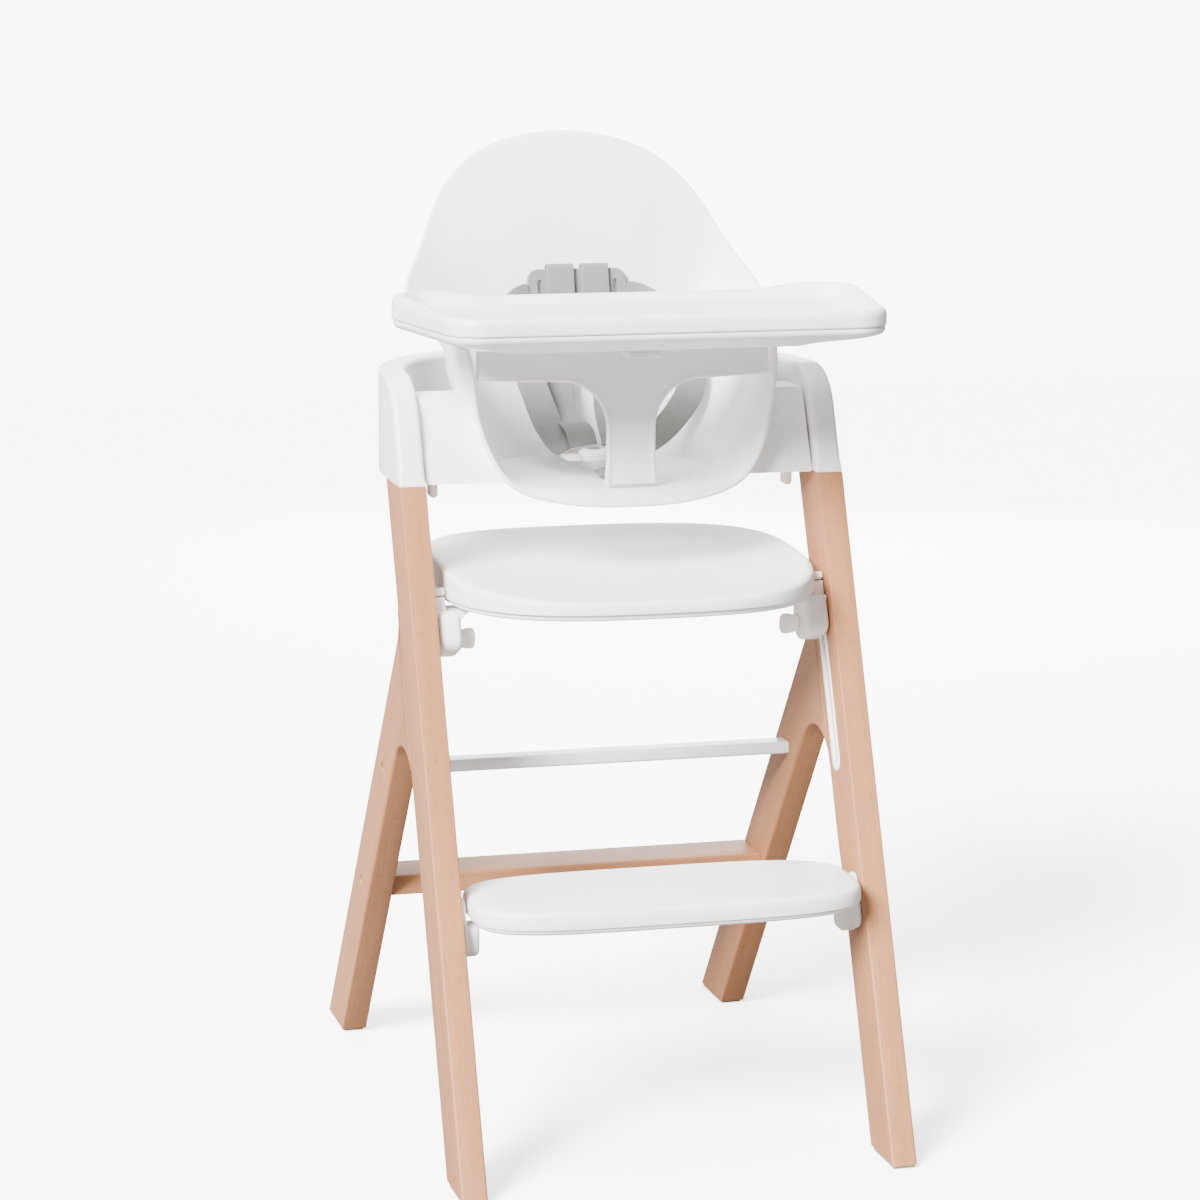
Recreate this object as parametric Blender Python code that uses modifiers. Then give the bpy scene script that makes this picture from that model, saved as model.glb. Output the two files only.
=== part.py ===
"""Baby high chair: beech side frames, backrest band, seat plate, footplate, infant seat and tray.

Metres, +Z up, the chair faces -Y, and the origin is on the floor below the middle of the chair.
"""
import math

import bmesh
import bpy
import numpy as np
from mathutils import Matrix, Vector

GAP = 0.0003                       # air between two pieces that touch

# Side frames
OUTER_X = 0.2175                   # outer face of a side frame
TIMBER = 0.0250                    # thickness of the beech
INNER_X = OUTER_X - TIMBER         # inner face of a side frame
FRONT_FOOT_Y = -0.3105             # front face of the front leg at the floor
FRONT_DEPTH = 0.0626               # front leg, measured along Y
FRONT_LEAN = 0.409                 # the front leg moves back this much for each unit of height
REAR_FOOT_Y = 0.3105               # rear face of the rear leg at the floor
REAR_DEPTH = 0.0726                # rear leg, measured along Y
REAR_LEAN = 0.748                  # the rear leg moves forward this much for each unit of height
ARCH_Y, ARCH_Z, ARCH_R = -0.063, 0.319, 0.050
NOTCH_R = 0.040                    # hollow where the rear leg runs into the front leg
GLIDE = 0.0030                     # height of a foot glide
TIMBER_ROUND = 0.0025
LEG_ANGLE = math.atan(FRONT_LEAN)
NEAR_HEAD = 0.0100                 # the end of a shank this close to its head is sunk into it

# Backrest band
CAP_Z = 0.6170                     # underside of the band, on top of the front legs
BAND_TOP = 0.7150
BAND_BACK_Y = 0.2080               # outer face of the band behind the seat
BAND_BEND_Y = -0.0060              # the straight sides end here

# Height rails
RAIL_WIDTH, RAIL_DEPTH, RAIL_PROUD = 0.0213, 0.0080, 0.0008
RAIL_LOW, RAIL_HIGH = 0.3390, 0.5160
RAIL_BEHIND = 0.0400               # rail centre, behind the front face of the leg
SLOT_WIDTH, SLOT_HEAD = 0.0080, 0.0140

# Crossbars, bolted through the rear legs
METAL_BAR = (0.0290, 0.3290)       # its middle: y, z
METAL_BAR_SIZE = (0.0240, 0.0122)  # along y, along z
WOOD_BAR = (0.1350, 0.1890)
WOOD_BAR_SIZE = (0.0600, 0.0200)

# Footplate
FOOT_Y, FOOT_HALF_W, FOOT_HALF_D = -0.1990, 0.1860, 0.0735
FOOT_LOW, FOOT_SPLIT, FOOT_HIGH = 0.2337, 0.2392, 0.2574
FOOT_OVAL = 3.8                   # how square the outline of the footplate is
FOOT_BRACKET_LOW, FOOT_BRACKET_HIGH, FOOT_BOSS_X = 0.1990, 0.2600, 0.1750

# Seat plate and its clamps
SEAT_Y, SEAT_HALF_W, SEAT_HALF_D = -0.0340, 0.1800, 0.1630
SEAT_LOW, SEAT_SPLIT, SEAT_HIGH = 0.5070, 0.5130, 0.5250
SEAT_OVAL = 2.9                   # how square the outline of the seat plate is
SEAT_CLIMB, SEAT_LEVELLING = 0.0472, 0.0287   # the rim climbs from the front, ever more slowly
CLAMP_LOW, CLAMP_SPLIT, CLAMP_HIGH = 0.4600, 0.5110, 0.5260
CLAMP_X = 0.1680                   # inner face of a clamp
CLAMP_Z = 0.4745                   # height of the clamp stud

# Infant seat
SHELL = 0.0040                     # wall thickness
WING_X = 0.1907                    # outer face of a side wing
WING_TOP = 0.6950
WING_FRONT_Y, WING_LEAN = -0.0490, 0.45
LEVER_X, LEVER_Y, LEVER_PIVOT_Z = 0.1760, -0.0100, 0.6620

# Crotch bar
T_END_X, T_END_Y, T_MID_Y = 0.1425, -0.0500, -0.0790
T_LOW, T_HIGH, T_POST_LOW = 0.7140, 0.7420, 0.6165
T_POST_HALF, T_FLARE, T_THICK = 0.0236, 0.0450, 0.0070

# Tray
TRAY_FRONT_Y, TRAY_REAR_Y = -0.2300, -0.0300
TRAY_FRONT_X, TRAY_REAR_X = 0.2090, 0.2265
TRAY_SPLIT, TRAY_RIM, TRAY_FLOOR = 0.7752, 0.7925, 0.7835
TRAY_KEEL, TRAY_HORN = 0.7515, 0.0060
PADDLE_Y, PADDLE_Z = -0.0960, 0.7440

# Harness
WEB_WIDTH, WEB_THICK = 0.0280, 0.0016
PLATE_Z, PLATE_HALF_W, PLATE_HALF_H = 0.7720, 0.0505, 0.0275
BUCKLE = Vector((-0.0080, 0.0250, 0.6290))


# ---------------------------------------------------------------- scene, materials, helpers
for old in list(bpy.data.objects):
    bpy.data.objects.remove(old, do_unlink=True)

PARTS = bpy.data.collections.new("high_chair")
CUTTERS = bpy.data.collections.new("cutters")
for group in (PARTS, CUTTERS):
    bpy.context.scene.collection.children.link(group)


def finish(name, colour, roughness, metallic=0.0):
    """A Principled material with the part's colour, roughness and metallic value."""
    material = bpy.data.materials.new(name)
    material.use_nodes = True
    shader = material.node_tree.nodes["Principled BSDF"]
    shader.inputs["Base Color"].default_value = (*colour, 1.0)
    shader.inputs["Roughness"].default_value = roughness
    shader.inputs["Metallic"].default_value = metallic
    material.diffuse_color = (*colour, 1.0)
    return material


BEECH = finish("beech", (0.72, 0.48, 0.32), 0.50)
WHITE = finish("white_plastic", (0.86, 0.85, 0.84), 0.38)
PAINT = finish("white_paint", (0.85, 0.86, 0.86), 0.30)
STEEL = finish("steel", (0.60, 0.60, 0.58), 0.30, 1.0)
GREY = finish("grey_plastic", (0.45, 0.46, 0.45), 0.45)
WEBBING = finish("grey_webbing", (0.40, 0.42, 0.41), 0.85)
GLIDES = finish("glide_plastic", (0.55, 0.50, 0.46), 0.60)


def add(name, mesh, material, group=PARTS):
    """Put a mesh into the scene as an object, a cutter being drawn as wire."""
    thing = bpy.data.objects.new(name, mesh)
    group.objects.link(thing)
    if material is not None:
        mesh.materials.append(material)
    if group is CUTTERS:
        thing.hide_render = True
        thing.display_type = "WIRE"
    return thing


def smooth(thing, angle=35.0):
    """Shade a piece smooth, with its real edges left sharp."""
    thing.data.shade_smooth()
    thing.data.set_sharp_from_angle(angle=math.radians(angle))
    return thing


def tidy_mesh(build, name):
    """Write a bmesh to a mesh with all faces pointing out."""
    bmesh.ops.recalc_face_normals(build, faces=build.faces)
    if build.calc_volume(signed=True) < 0:
        bmesh.ops.reverse_faces(build, faces=build.faces)
    mesh = bpy.data.meshes.new(name)
    build.to_mesh(mesh)
    build.free()
    return mesh


def soften(thing, width, segments=2, angle=40.0):
    """Rounded edges."""
    bevel = thing.modifiers.new("rounded_edges", "BEVEL")
    bevel.width = width
    bevel.segments = segments
    bevel.limit_method = "ANGLE"
    bevel.angle_limit = math.radians(angle)
    bevel.use_clamp_overlap = True
    return thing


def combine(thing, others, operation):
    """Cut pieces away from, or join pieces to, a piece."""
    for other in others:
        boolean = thing.modifiers.new(operation.lower(), "BOOLEAN")
        boolean.operation = operation
        boolean.object = other
    return thing


def board(name, outline, low, high, axis, material, group=PARTS):
    """A flat board: its outline lies across the axis, and it runs along the axis from low to high."""
    curve = bpy.data.curves.new(name, "CURVE")
    curve.dimensions = "2D"
    curve.fill_mode = "BOTH"
    curve.extrude = (high - low) / 2
    spline = curve.splines.new("POLY")
    spline.points.add(len(outline) - 1)
    for point, (a, b) in zip(spline.points, outline):
        point.co = (a, b, 0.0, 1.0)
    spline.use_cyclic_u = True
    source = bpy.data.objects.new(name + "_outline", curve)
    bpy.context.scene.collection.objects.link(source)
    graph = bpy.context.evaluated_depsgraph_get()
    mesh = bpy.data.meshes.new_from_object(source.evaluated_get(graph))
    bpy.data.objects.remove(source)
    middle = (low + high) / 2
    turn = {
        "X": Matrix(((0, 0, 1, middle), (1, 0, 0, 0), (0, 1, 0, 0), (0, 0, 0, 1))),
        "Y": Matrix(((1, 0, 0, 0), (0, 0, -1, middle), (0, 1, 0, 0), (0, 0, 0, 1))),
        "Z": Matrix(((1, 0, 0, 0), (0, 1, 0, 0), (0, 0, 1, middle), (0, 0, 0, 1))),
    }[axis]
    build = bmesh.new()
    build.from_mesh(mesh)
    bmesh.ops.remove_doubles(build, verts=build.verts, dist=0.00002)
    bmesh.ops.dissolve_limit(build, angle_limit=0.001, verts=build.verts, edges=build.edges)
    build.transform(turn)
    mesh = tidy_mesh(build, name)
    mesh.materials.clear()
    return add(name, mesh, material, group)


def block(name, low, high, material, group=PARTS, turn=0.0, about=(0.0, 0.0)):
    """A box between two corners, turned about X at the point (y, z) by an angle."""
    build = bmesh.new()
    bmesh.ops.create_cube(build, size=1.0)
    size = Vector(high) - Vector(low)
    middle = (Vector(high) + Vector(low)) / 2
    build.transform(Matrix.Translation(middle) @ Matrix.Diagonal((*size, 1.0)))
    if turn:
        pivot = Vector((0.0, *about))
        swing = Matrix.Translation(pivot) @ Matrix.Rotation(turn, 4, "X") @ Matrix.Translation(-pivot)
        build.transform(swing)
    return add(name, tidy_mesh(build, name), material, group)


def rod(name, start, end, radius, material, group=PARTS, sides=16, end_radius=None):
    """A round rod between two points."""
    start, end = Vector(start), Vector(end)
    build = bmesh.new()
    bmesh.ops.create_cone(build, cap_ends=True, segments=sides, radius1=radius,
                          radius2=radius if end_radius is None else end_radius,
                          depth=(end - start).length)
    turn = Vector((0, 0, 1)).rotation_difference(end - start).to_matrix().to_4x4()
    build.transform(Matrix.Translation((start + end) / 2) @ turn)
    return add(name, tidy_mesh(build, name), material, group)


def name_each(names, things, material):
    """Name a set of like pieces and give them their material."""
    for name, thing in zip(names, things):
        thing.name = name
        thing.data.materials.clear()
        thing.data.materials.append(material)


def skin(name, rings, material, group=PARTS, closed=True):
    """A surface through equal rings of points; closed gives it a flat lid at both ends."""
    build = bmesh.new()
    rows = [[build.verts.new(point) for point in ring] for ring in rings]
    count = len(rows[0])
    for lower, upper in zip(rows, rows[1:]):
        for i in range(count):
            j = (i + 1) % count
            build.faces.new((lower[i], lower[j], upper[j], upper[i]))
    if closed:
        build.faces.new(list(reversed(rows[0])))
        build.faces.new(rows[-1])
    return add(name, tidy_mesh(build, name), material, group)


def arc(centre, radius, start, end, count):
    """Points on an arc, with the angles in degrees."""
    turns = np.radians(np.linspace(start, end, count))
    return [(centre[0] + radius * math.cos(a), centre[1] + radius * math.sin(a)) for a in turns]


def rounded(middle, size, radius, count=4):
    """Outline of a rectangle with round corners."""
    points = []
    for start, a, b in ((0, 1, 1), (90, -1, 1), (180, -1, -1), (270, 1, -1)):
        corner = (middle[0] + a * (size[0] / 2 - radius), middle[1] + b * (size[1] / 2 - radius))
        points += arc(corner, radius, start, start + 90, count)
    return points


def through(points, count, closed=False):
    """Points on a smooth curve through hand-set points (a Catmull-Rom spline)."""
    points = np.asarray(points, float)
    last = len(points) if closed else len(points) - 1
    result = []
    for t in np.linspace(0, last, count, endpoint=not closed):
        i = min(int(t), last - 1)
        f = t - i
        if closed:
            a, b, c, d = (points[(i + k) % len(points)] for k in (-1, 0, 1, 2))
        else:
            b, c = points[i], points[i + 1]
            a = points[i - 1] if i > 0 else 2 * b - c
            d = points[i + 2] if i + 2 < len(points) else 2 * c - b
        result.append(0.5 * (2 * b + (c - a) * f + (2 * a - 5 * b + 4 * c - d) * f ** 2
                             + (3 * b - a - 3 * c + d) * f ** 3))
    return np.array(result)


def front_face(z):
    """Y of the front leg's front face at a height."""
    return FRONT_FOOT_Y + FRONT_LEAN * z


def rail_middle(z):
    """Y of the rail's centre line at a height."""
    return front_face(z) + RAIL_BEHIND


# ---------------------------------------------------------------- side frames
def front_leg(side, s):
    """A straight leg with a tenon that goes up into the band, and a pocket for the rail."""
    top = CAP_Z - GAP
    outline = [(front_face(GLIDE), GLIDE), (front_face(GLIDE) + FRONT_DEPTH, GLIDE),
               (front_face(top) + FRONT_DEPTH, top), (front_face(top), top)]
    low, high = sorted((s * INNER_X, s * OUTER_X))
    leg = board(f"front_leg_{side}", outline, low, high, "X", BEECH)
    soften(leg, TIMBER_ROUND)
    middle_y = front_face(top) + FRONT_DEPTH / 2 + 0.006
    middle_x = s * (INNER_X + OUTER_X) / 2
    tenon = block(f"tenon_{side}", (middle_x - 0.006, middle_y - 0.016, top - 0.010),
                  (middle_x + 0.006, middle_y + 0.016, top + 0.036), None, CUTTERS)
    combine(leg, [tenon], "UNION")
    cuts = [rail_shape(f"rail_pocket_{side}", s, RAIL_WIDTH / 2 + GAP, INNER_X - 0.001,
                       INNER_X + RAIL_DEPTH - RAIL_PROUD + GAP)]
    for k, (y, z) in enumerate(foot_screw_places()):
        cuts.append(rod(f"foot_pilot_{side}_{k}", (s * (INNER_X - 0.001), y, z),
                        (s * (INNER_X + 0.0155), y, z), 0.0023, None, CUTTERS, 12))
    cuts.append(rod(f"band_bolt_hole_{side}", (s * (INNER_X - 0.001), middle_y, top + 0.020),
                    (s * (OUTER_X - 0.0040), middle_y, top + 0.020), 0.0028, None, CUTTERS, 12))
    combine(leg, cuts, "DIFFERENCE")
    return leg


def rail_shape(name, s, half_width, x_low, x_high, group=CUTTERS, material=None):
    """A slot-shaped bar with round ends, parallel to the front leg, centred on the rail's line."""
    along = Vector((FRONT_LEAN, 1.0)).normalized()
    across = Vector((along.y, -along.x))
    low_z, high_z = RAIL_LOW + RAIL_WIDTH / 2, RAIL_HIGH - RAIL_WIDTH / 2
    low = Vector((rail_middle(low_z), low_z))
    high = Vector((rail_middle(high_z), high_z))
    outline = []
    for turn in np.radians(np.linspace(0, 180, 9)):
        outline.append(high + half_width * (math.cos(turn) * across + math.sin(turn) * along))
    for turn in np.radians(np.linspace(180, 360, 9)):
        outline.append(low + half_width * (math.cos(turn) * across + math.sin(turn) * along))
    low_x, high_x = sorted((s * x_low, s * x_high))
    return board(name, [tuple(point) for point in outline], low_x, high_x, "X", material, group)


def rear_leg(side, s):
    """A leaning leg whose upper end widens into an arched web that is glued to the front leg."""
    def joint(z):
        return front_face(z) + FRONT_DEPTH + GAP / math.cos(LEG_ANGLE)

    def rear(z):
        return REAR_FOOT_Y - REAR_LEAN * z

    rear_angle = math.atan(REAR_LEAN)
    low = [(rear(GLIDE) - REAR_DEPTH, GLIDE), (rear(GLIDE), GLIDE)]
    notch_z = (REAR_FOOT_Y - FRONT_FOOT_Y - FRONT_DEPTH) / (REAR_LEAN + FRONT_LEAN)
    half = (rear_angle + LEG_ANGLE) / 2
    bisector = Vector((math.sin(math.pi / 2 - (rear_angle - LEG_ANGLE) / 2),
                       math.cos(math.pi / 2 - (rear_angle - LEG_ANGLE) / 2)))
    notch = Vector((rear(notch_z), notch_z)) + bisector * NOTCH_R / math.cos(half)
    start = 180 + math.degrees(rear_angle)
    end = 180 - math.degrees(LEG_ANGLE)
    hollow = [point for point in arc(notch, NOTCH_R, start, end, 9)
              if point[0] - joint(point[1]) > 0.0012]
    tip_z = hollow[-1][1]
    joint_line = [(joint(tip_z), tip_z)]
    arch = arc((ARCH_Y, ARCH_Z), ARCH_R, 180 - math.degrees(LEG_ANGLE),
               math.degrees(rear_angle), 15)
    arch = [(max(y, joint(z)), z) for y, z in arch]
    outline = low + hollow + joint_line + arch
    low_x, high_x = sorted((s * INNER_X, s * OUTER_X))
    leg = board(f"rear_leg_{side}", outline, low_x, high_x, "X", BEECH)
    cuts = []
    for k, (y, z) in enumerate((METAL_BAR, WOOD_BAR)):
        cuts.append(rod(f"bolt_hole_{side}_{k}", (s * (INNER_X - 0.001), y, z),
                        (s * (OUTER_X + 0.001), y, z), 0.0034, None, CUTTERS, 12))
        cuts.append(rod(f"bolt_sink_{side}_{k}", (s * (OUTER_X - 0.0065), y, z),
                        (s * (OUTER_X + 0.001), y, z), 0.0056, None, CUTTERS, 16))
    combine(leg, cuts, "DIFFERENCE")
    return leg


def glides(side, s):
    """Thin pads under the two feet of a side frame."""
    low_x, high_x = sorted((s * (INNER_X + 0.002), s * (OUTER_X - 0.002)))
    for place, y, depth in (("front", FRONT_FOOT_Y, FRONT_DEPTH),
                            ("rear", REAR_FOOT_Y - REAR_DEPTH, REAR_DEPTH)):
        block(f"glide_{place}_{side}", (low_x, y + 0.003, 0.0),
              (high_x, y + depth - 0.003, GLIDE - GAP), GLIDES)


def rail(side, s):
    """A slotted plastic rail in its pocket: a wide head groove behind a narrow slot."""
    face, back = INNER_X - RAIL_PROUD, INNER_X + RAIL_DEPTH - RAIL_PROUD
    strip = rail_shape(f"height_rail_{side}", s, RAIL_WIDTH / 2, face, back, PARTS, WHITE)
    slot = rail_shape(f"rail_slot_{side}", s, SLOT_WIDTH / 2, face - 0.001, back - 0.0015)
    head = rail_shape(f"rail_head_{side}", s, SLOT_HEAD / 2, face + 0.0025, back - 0.0015)
    combine(strip, [slot, head], "DIFFERENCE")
    return strip


def crossbars():
    """The metal and the wood crossbar, with the bolts, plugs and nuts that hold them."""
    half = INNER_X - GAP
    bolts, plugs, nuts = [], [], []
    y, z = METAL_BAR
    across, tall = METAL_BAR_SIZE
    wall = 0.0015
    tube = board("metal_crossbar", rounded(METAL_BAR, METAL_BAR_SIZE, 0.0030), -half, half, "X", PAINT)
    bore = block("tube_bore", (-half - 0.002, y - across / 2 + wall, z - tall / 2 + wall),
                 (half + 0.002, y + across / 2 - wall, z + tall / 2 - wall), None, CUTTERS)
    combine(tube, [bore], "DIFFERENCE")
    y2, z2 = WOOD_BAR
    deep, thick = WOOD_BAR_SIZE
    plank = block("wood_crossbar", (-half, y2 - deep / 2, z2 - thick / 2),
                  (half, y2 + deep / 2, z2 + thick / 2), BEECH)
    soften(plank, TIMBER_ROUND)
    holes = []
    for side, s in (("left", -1), ("right", 1)):
        for k, (by, bz) in enumerate((METAL_BAR, WOOD_BAR)):
            head = rod(f"bolt_{side}_{k}", (s * (OUTER_X - 0.0062), by, bz),
                       (s * (OUTER_X - 0.0020), by, bz), 0.0050, None)
            shank = rod(f"shank_{side}_{k}", (s * (INNER_X - 0.0250), by, bz),
                        (s * (OUTER_X - 0.0070), by, bz), 0.0030, None, PARTS, 12)
            bolts += [stepped(f"stepped_{side}_{k}", head, shank)]
        plug = block(f"plug_{side}", (s * (half - 0.0005), y - across / 2 + wall + GAP,
                                      z - tall / 2 + wall + GAP),
                     (s * (half - 0.0300), y + across / 2 - wall - GAP,
                      z + tall / 2 - wall - GAP), None)
        plugs.append(drilled(plug, (s * (half + 0.001), y, z), (s * (half - 0.040), y, z), 0.0033))
        nut_x = s * (INNER_X - 0.0190)
        nut = rod(f"nut_{side}", (nut_x, y2, z2 - thick / 2 + 0.0010),
                  (nut_x, y2, z2 + 0.0050), 0.0050, None)
        nuts.append(drilled(nut, (nut_x - 0.010, y2, z2), (nut_x + 0.010, y2, z2), 0.0033))
        holes.append(rod(f"nut_hole_{side}", (nut_x, y2, z2 - thick / 2 - 0.001),
                         (nut_x, y2, z2 + 0.0055), 0.0053, None, CUTTERS, 16))
        holes.append(rod(f"end_hole_{side}", (s * (half + 0.001), y2, z2),
                         (s * (half - 0.0300), y2, z2), 0.0033, None, CUTTERS, 12))
    combine(plank, holes, "DIFFERENCE")
    name_each(("metal_bar_bolt_left", "wood_bar_bolt_left", "metal_bar_bolt_right", "wood_bar_bolt_right"),
              bolts, STEEL)
    name_each(("crossbar_plug_left", "crossbar_plug_right"), plugs, STEEL)
    name_each(("barrel_nut_left", "barrel_nut_right"), nuts, STEEL)


def baked(thing):
    """The piece with its modifiers applied, as a new object of the same name."""
    graph = bpy.context.evaluated_depsgraph_get()
    mesh = bpy.data.meshes.new_from_object(thing.evaluated_get(graph))
    name = thing.name
    group = CUTTERS if thing.name in CUTTERS.objects else PARTS
    bpy.data.objects.remove(thing)
    return add(name, mesh, None, group)


def drilled(thing, start, end, radius):
    """A solid with one straight hole."""
    bit = rod(thing.name + "_bit", start, end, radius, None, CUTTERS, 12)
    thing = baked(combine(thing, [bit], "DIFFERENCE"))
    bpy.data.objects.remove(bit)
    return thing


def stepped(name, head, shank):
    """A bolt or screw from its head and its shank."""
    middle = sum((v.co for v in head.data.vertices), Vector()) / len(head.data.vertices)
    for vertex in shank.data.vertices:
        if (vertex.co - middle).length < NEAR_HEAD:
            vertex.co.x = middle.x
    combine(head, [shank], "UNION")
    graph = bpy.context.evaluated_depsgraph_get()
    mesh = bpy.data.meshes.new_from_object(head.evaluated_get(graph))
    bpy.data.objects.remove(head)
    bpy.data.objects.remove(shank)
    return add(name, mesh, None)


# ---------------------------------------------------------------- backrest band
def band():
    """A U-shaped band on the front legs: its ends lean with the legs and curve back to the top."""
    front = front_face(CAP_Z) - 0.004
    flat = BAND_BACK_Y - BAND_BEND_Y

    def bend(inset):
        half_w, half_d = OUTER_X - inset, flat - inset
        points = []
        for turn in np.radians(np.linspace(180, 0, 27)):
            c, n = math.cos(turn), math.sin(turn)
            points.append((half_w * math.copysign(abs(c) ** 0.80, c),
                           BAND_BEND_Y + half_d * abs(n) ** 0.80))
        return [(-half_w, front)] + points + [(half_w, front)]

    outline = bend(0.0) + list(reversed(bend(TIMBER)))
    hoop = board("backrest_band", outline, CAP_Z, BAND_TOP, "Z", WHITE)
    soften(hoop, 0.0035, 2, 50)
    reach_y, round_r = front_face(CAP_Z), 0.060
    lean = math.degrees(LEG_ANGLE)
    tangent_z = BAND_TOP - round_r * (1 - math.sin(LEG_ANGLE))
    centre = (front_face(tangent_z) + round_r * math.cos(LEG_ANGLE), BAND_TOP - round_r)
    curve = arc(centre, round_r, 180 - lean, 90, 9)
    nose = [(reach_y - 0.0005 * FRONT_LEAN, CAP_Z - 0.0005)] + curve
    outline = nose + [(centre[0], BAND_TOP + 0.01), (front - 0.02, BAND_TOP + 0.01),
                      (front - 0.02, CAP_Z - 0.0005)]
    nose_cutter = board("band_nose", outline, -OUTER_X - 0.01, OUTER_X + 0.01, "X", None, CUTTERS)
    cuts = [nose_cutter]
    top = CAP_Z - GAP
    middle_y = front_face(top) + FRONT_DEPTH / 2 + 0.006
    for s in (-1, 1):
        middle_x = s * (INNER_X + OUTER_X) / 2
        cuts.append(block(f"socket_{s}", (middle_x - 0.0063, middle_y - 0.0163, CAP_Z - 0.001),
                          (middle_x + 0.0063, middle_y + 0.0163, top + 0.0365), None, CUTTERS))
        cuts.append(rod(f"band_bolt_path_{s}", (s * (INNER_X - 0.001), middle_y, top + 0.020),
                        (s * (OUTER_X - 0.0040), middle_y, top + 0.020), 0.0028, None, CUTTERS, 12))
        cuts.append(rod(f"band_bolt_sink_{s}", (s * (INNER_X - 0.001), middle_y, top + 0.020),
                        (s * (INNER_X + 0.0030), middle_y, top + 0.020), 0.0048, None, CUTTERS, 16))
    combine(hoop, cuts, "DIFFERENCE")
    bolts = []
    for s in (-1, 1):
        head = rod(f"band_head_{s}", (s * (INNER_X + 0.0003), middle_y, top + 0.020),
                   (s * (INNER_X + 0.0028), middle_y, top + 0.020), 0.0045, None)
        shank = rod(f"band_shank_{s}", (s * (INNER_X + 0.0035), middle_y, top + 0.020),
                    (s * (OUTER_X - 0.0045), middle_y, top + 0.020), 0.0025, None, PARTS, 12)
        bolts.append(stepped(f"band_bolt_{s}", head, shank))
    name_each(("band_bolt_left", "band_bolt_right"), bolts, STEEL)
    return hoop


# ---------------------------------------------------------------- plates
def oval(half_w, half_d, centre_y, power, count=44):
    """Outline of a rounded plate: a superellipse."""
    points = []
    for turn in np.linspace(0, 2 * math.pi, count, endpoint=False):
        c, n = math.cos(turn), math.sin(turn)
        points.append((half_w * math.copysign(abs(c) ** (2 / power), c),
                       centre_y + half_d * math.copysign(abs(n) ** (2 / power), n)))
    return points


def layered(name, layers, outline, lift, material):
    """A moulded plate through rings: each layer has an inset, a height and a share of the lift."""
    rings = []
    for inset, height, share in layers:
        rings.append([(x, y, height + share * lift(x, y)) for x, y in outline(inset)])
    return skin(name, rings, material)


def seat_outline(inset):
    return oval(SEAT_HALF_W - inset, SEAT_HALF_D - inset, SEAT_Y, SEAT_OVAL)


def seat_lift(x, y):
    """The rim of the seat plate climbs towards the back and levels out there."""
    share = (y - SEAT_Y + SEAT_HALF_D) / (2 * SEAT_HALF_D)
    return SEAT_CLIMB * share - SEAT_LEVELLING * share ** 2


def seat_plate():
    """The seat plate: a dished upper shell, and a pan that closes it from below."""
    top_layers = [(0.004, SEAT_SPLIT + GAP, 0.0), (0.0, SEAT_SPLIT + 0.002, 0.0),
                  (0.0, SEAT_HIGH - 0.005, 1.0), (0.0015, SEAT_HIGH - 0.0015, 1.0),
                  (0.006, SEAT_HIGH, 1.0), (0.020, SEAT_HIGH - 0.0015, 0.97),
                  (0.050, SEAT_HIGH - 0.0050, 0.88), (0.100, SEAT_HIGH - 0.0065, 0.74)]
    smooth(layered("seat_top", top_layers, seat_outline, seat_lift, WHITE), 60)
    pan_layers = [(0.060, SEAT_LOW - 0.003, 0.0), (0.012, SEAT_LOW, 0.0), (0.004, SEAT_LOW + 0.001, 0.0),
                  (0.003, SEAT_SPLIT - 0.001, 0.0), (0.006, SEAT_SPLIT, 0.0),
                  (0.060, SEAT_SPLIT, 0.0)]
    smooth(layered("seat_pan", pan_layers, seat_outline, seat_lift, WHITE), 60)


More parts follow.
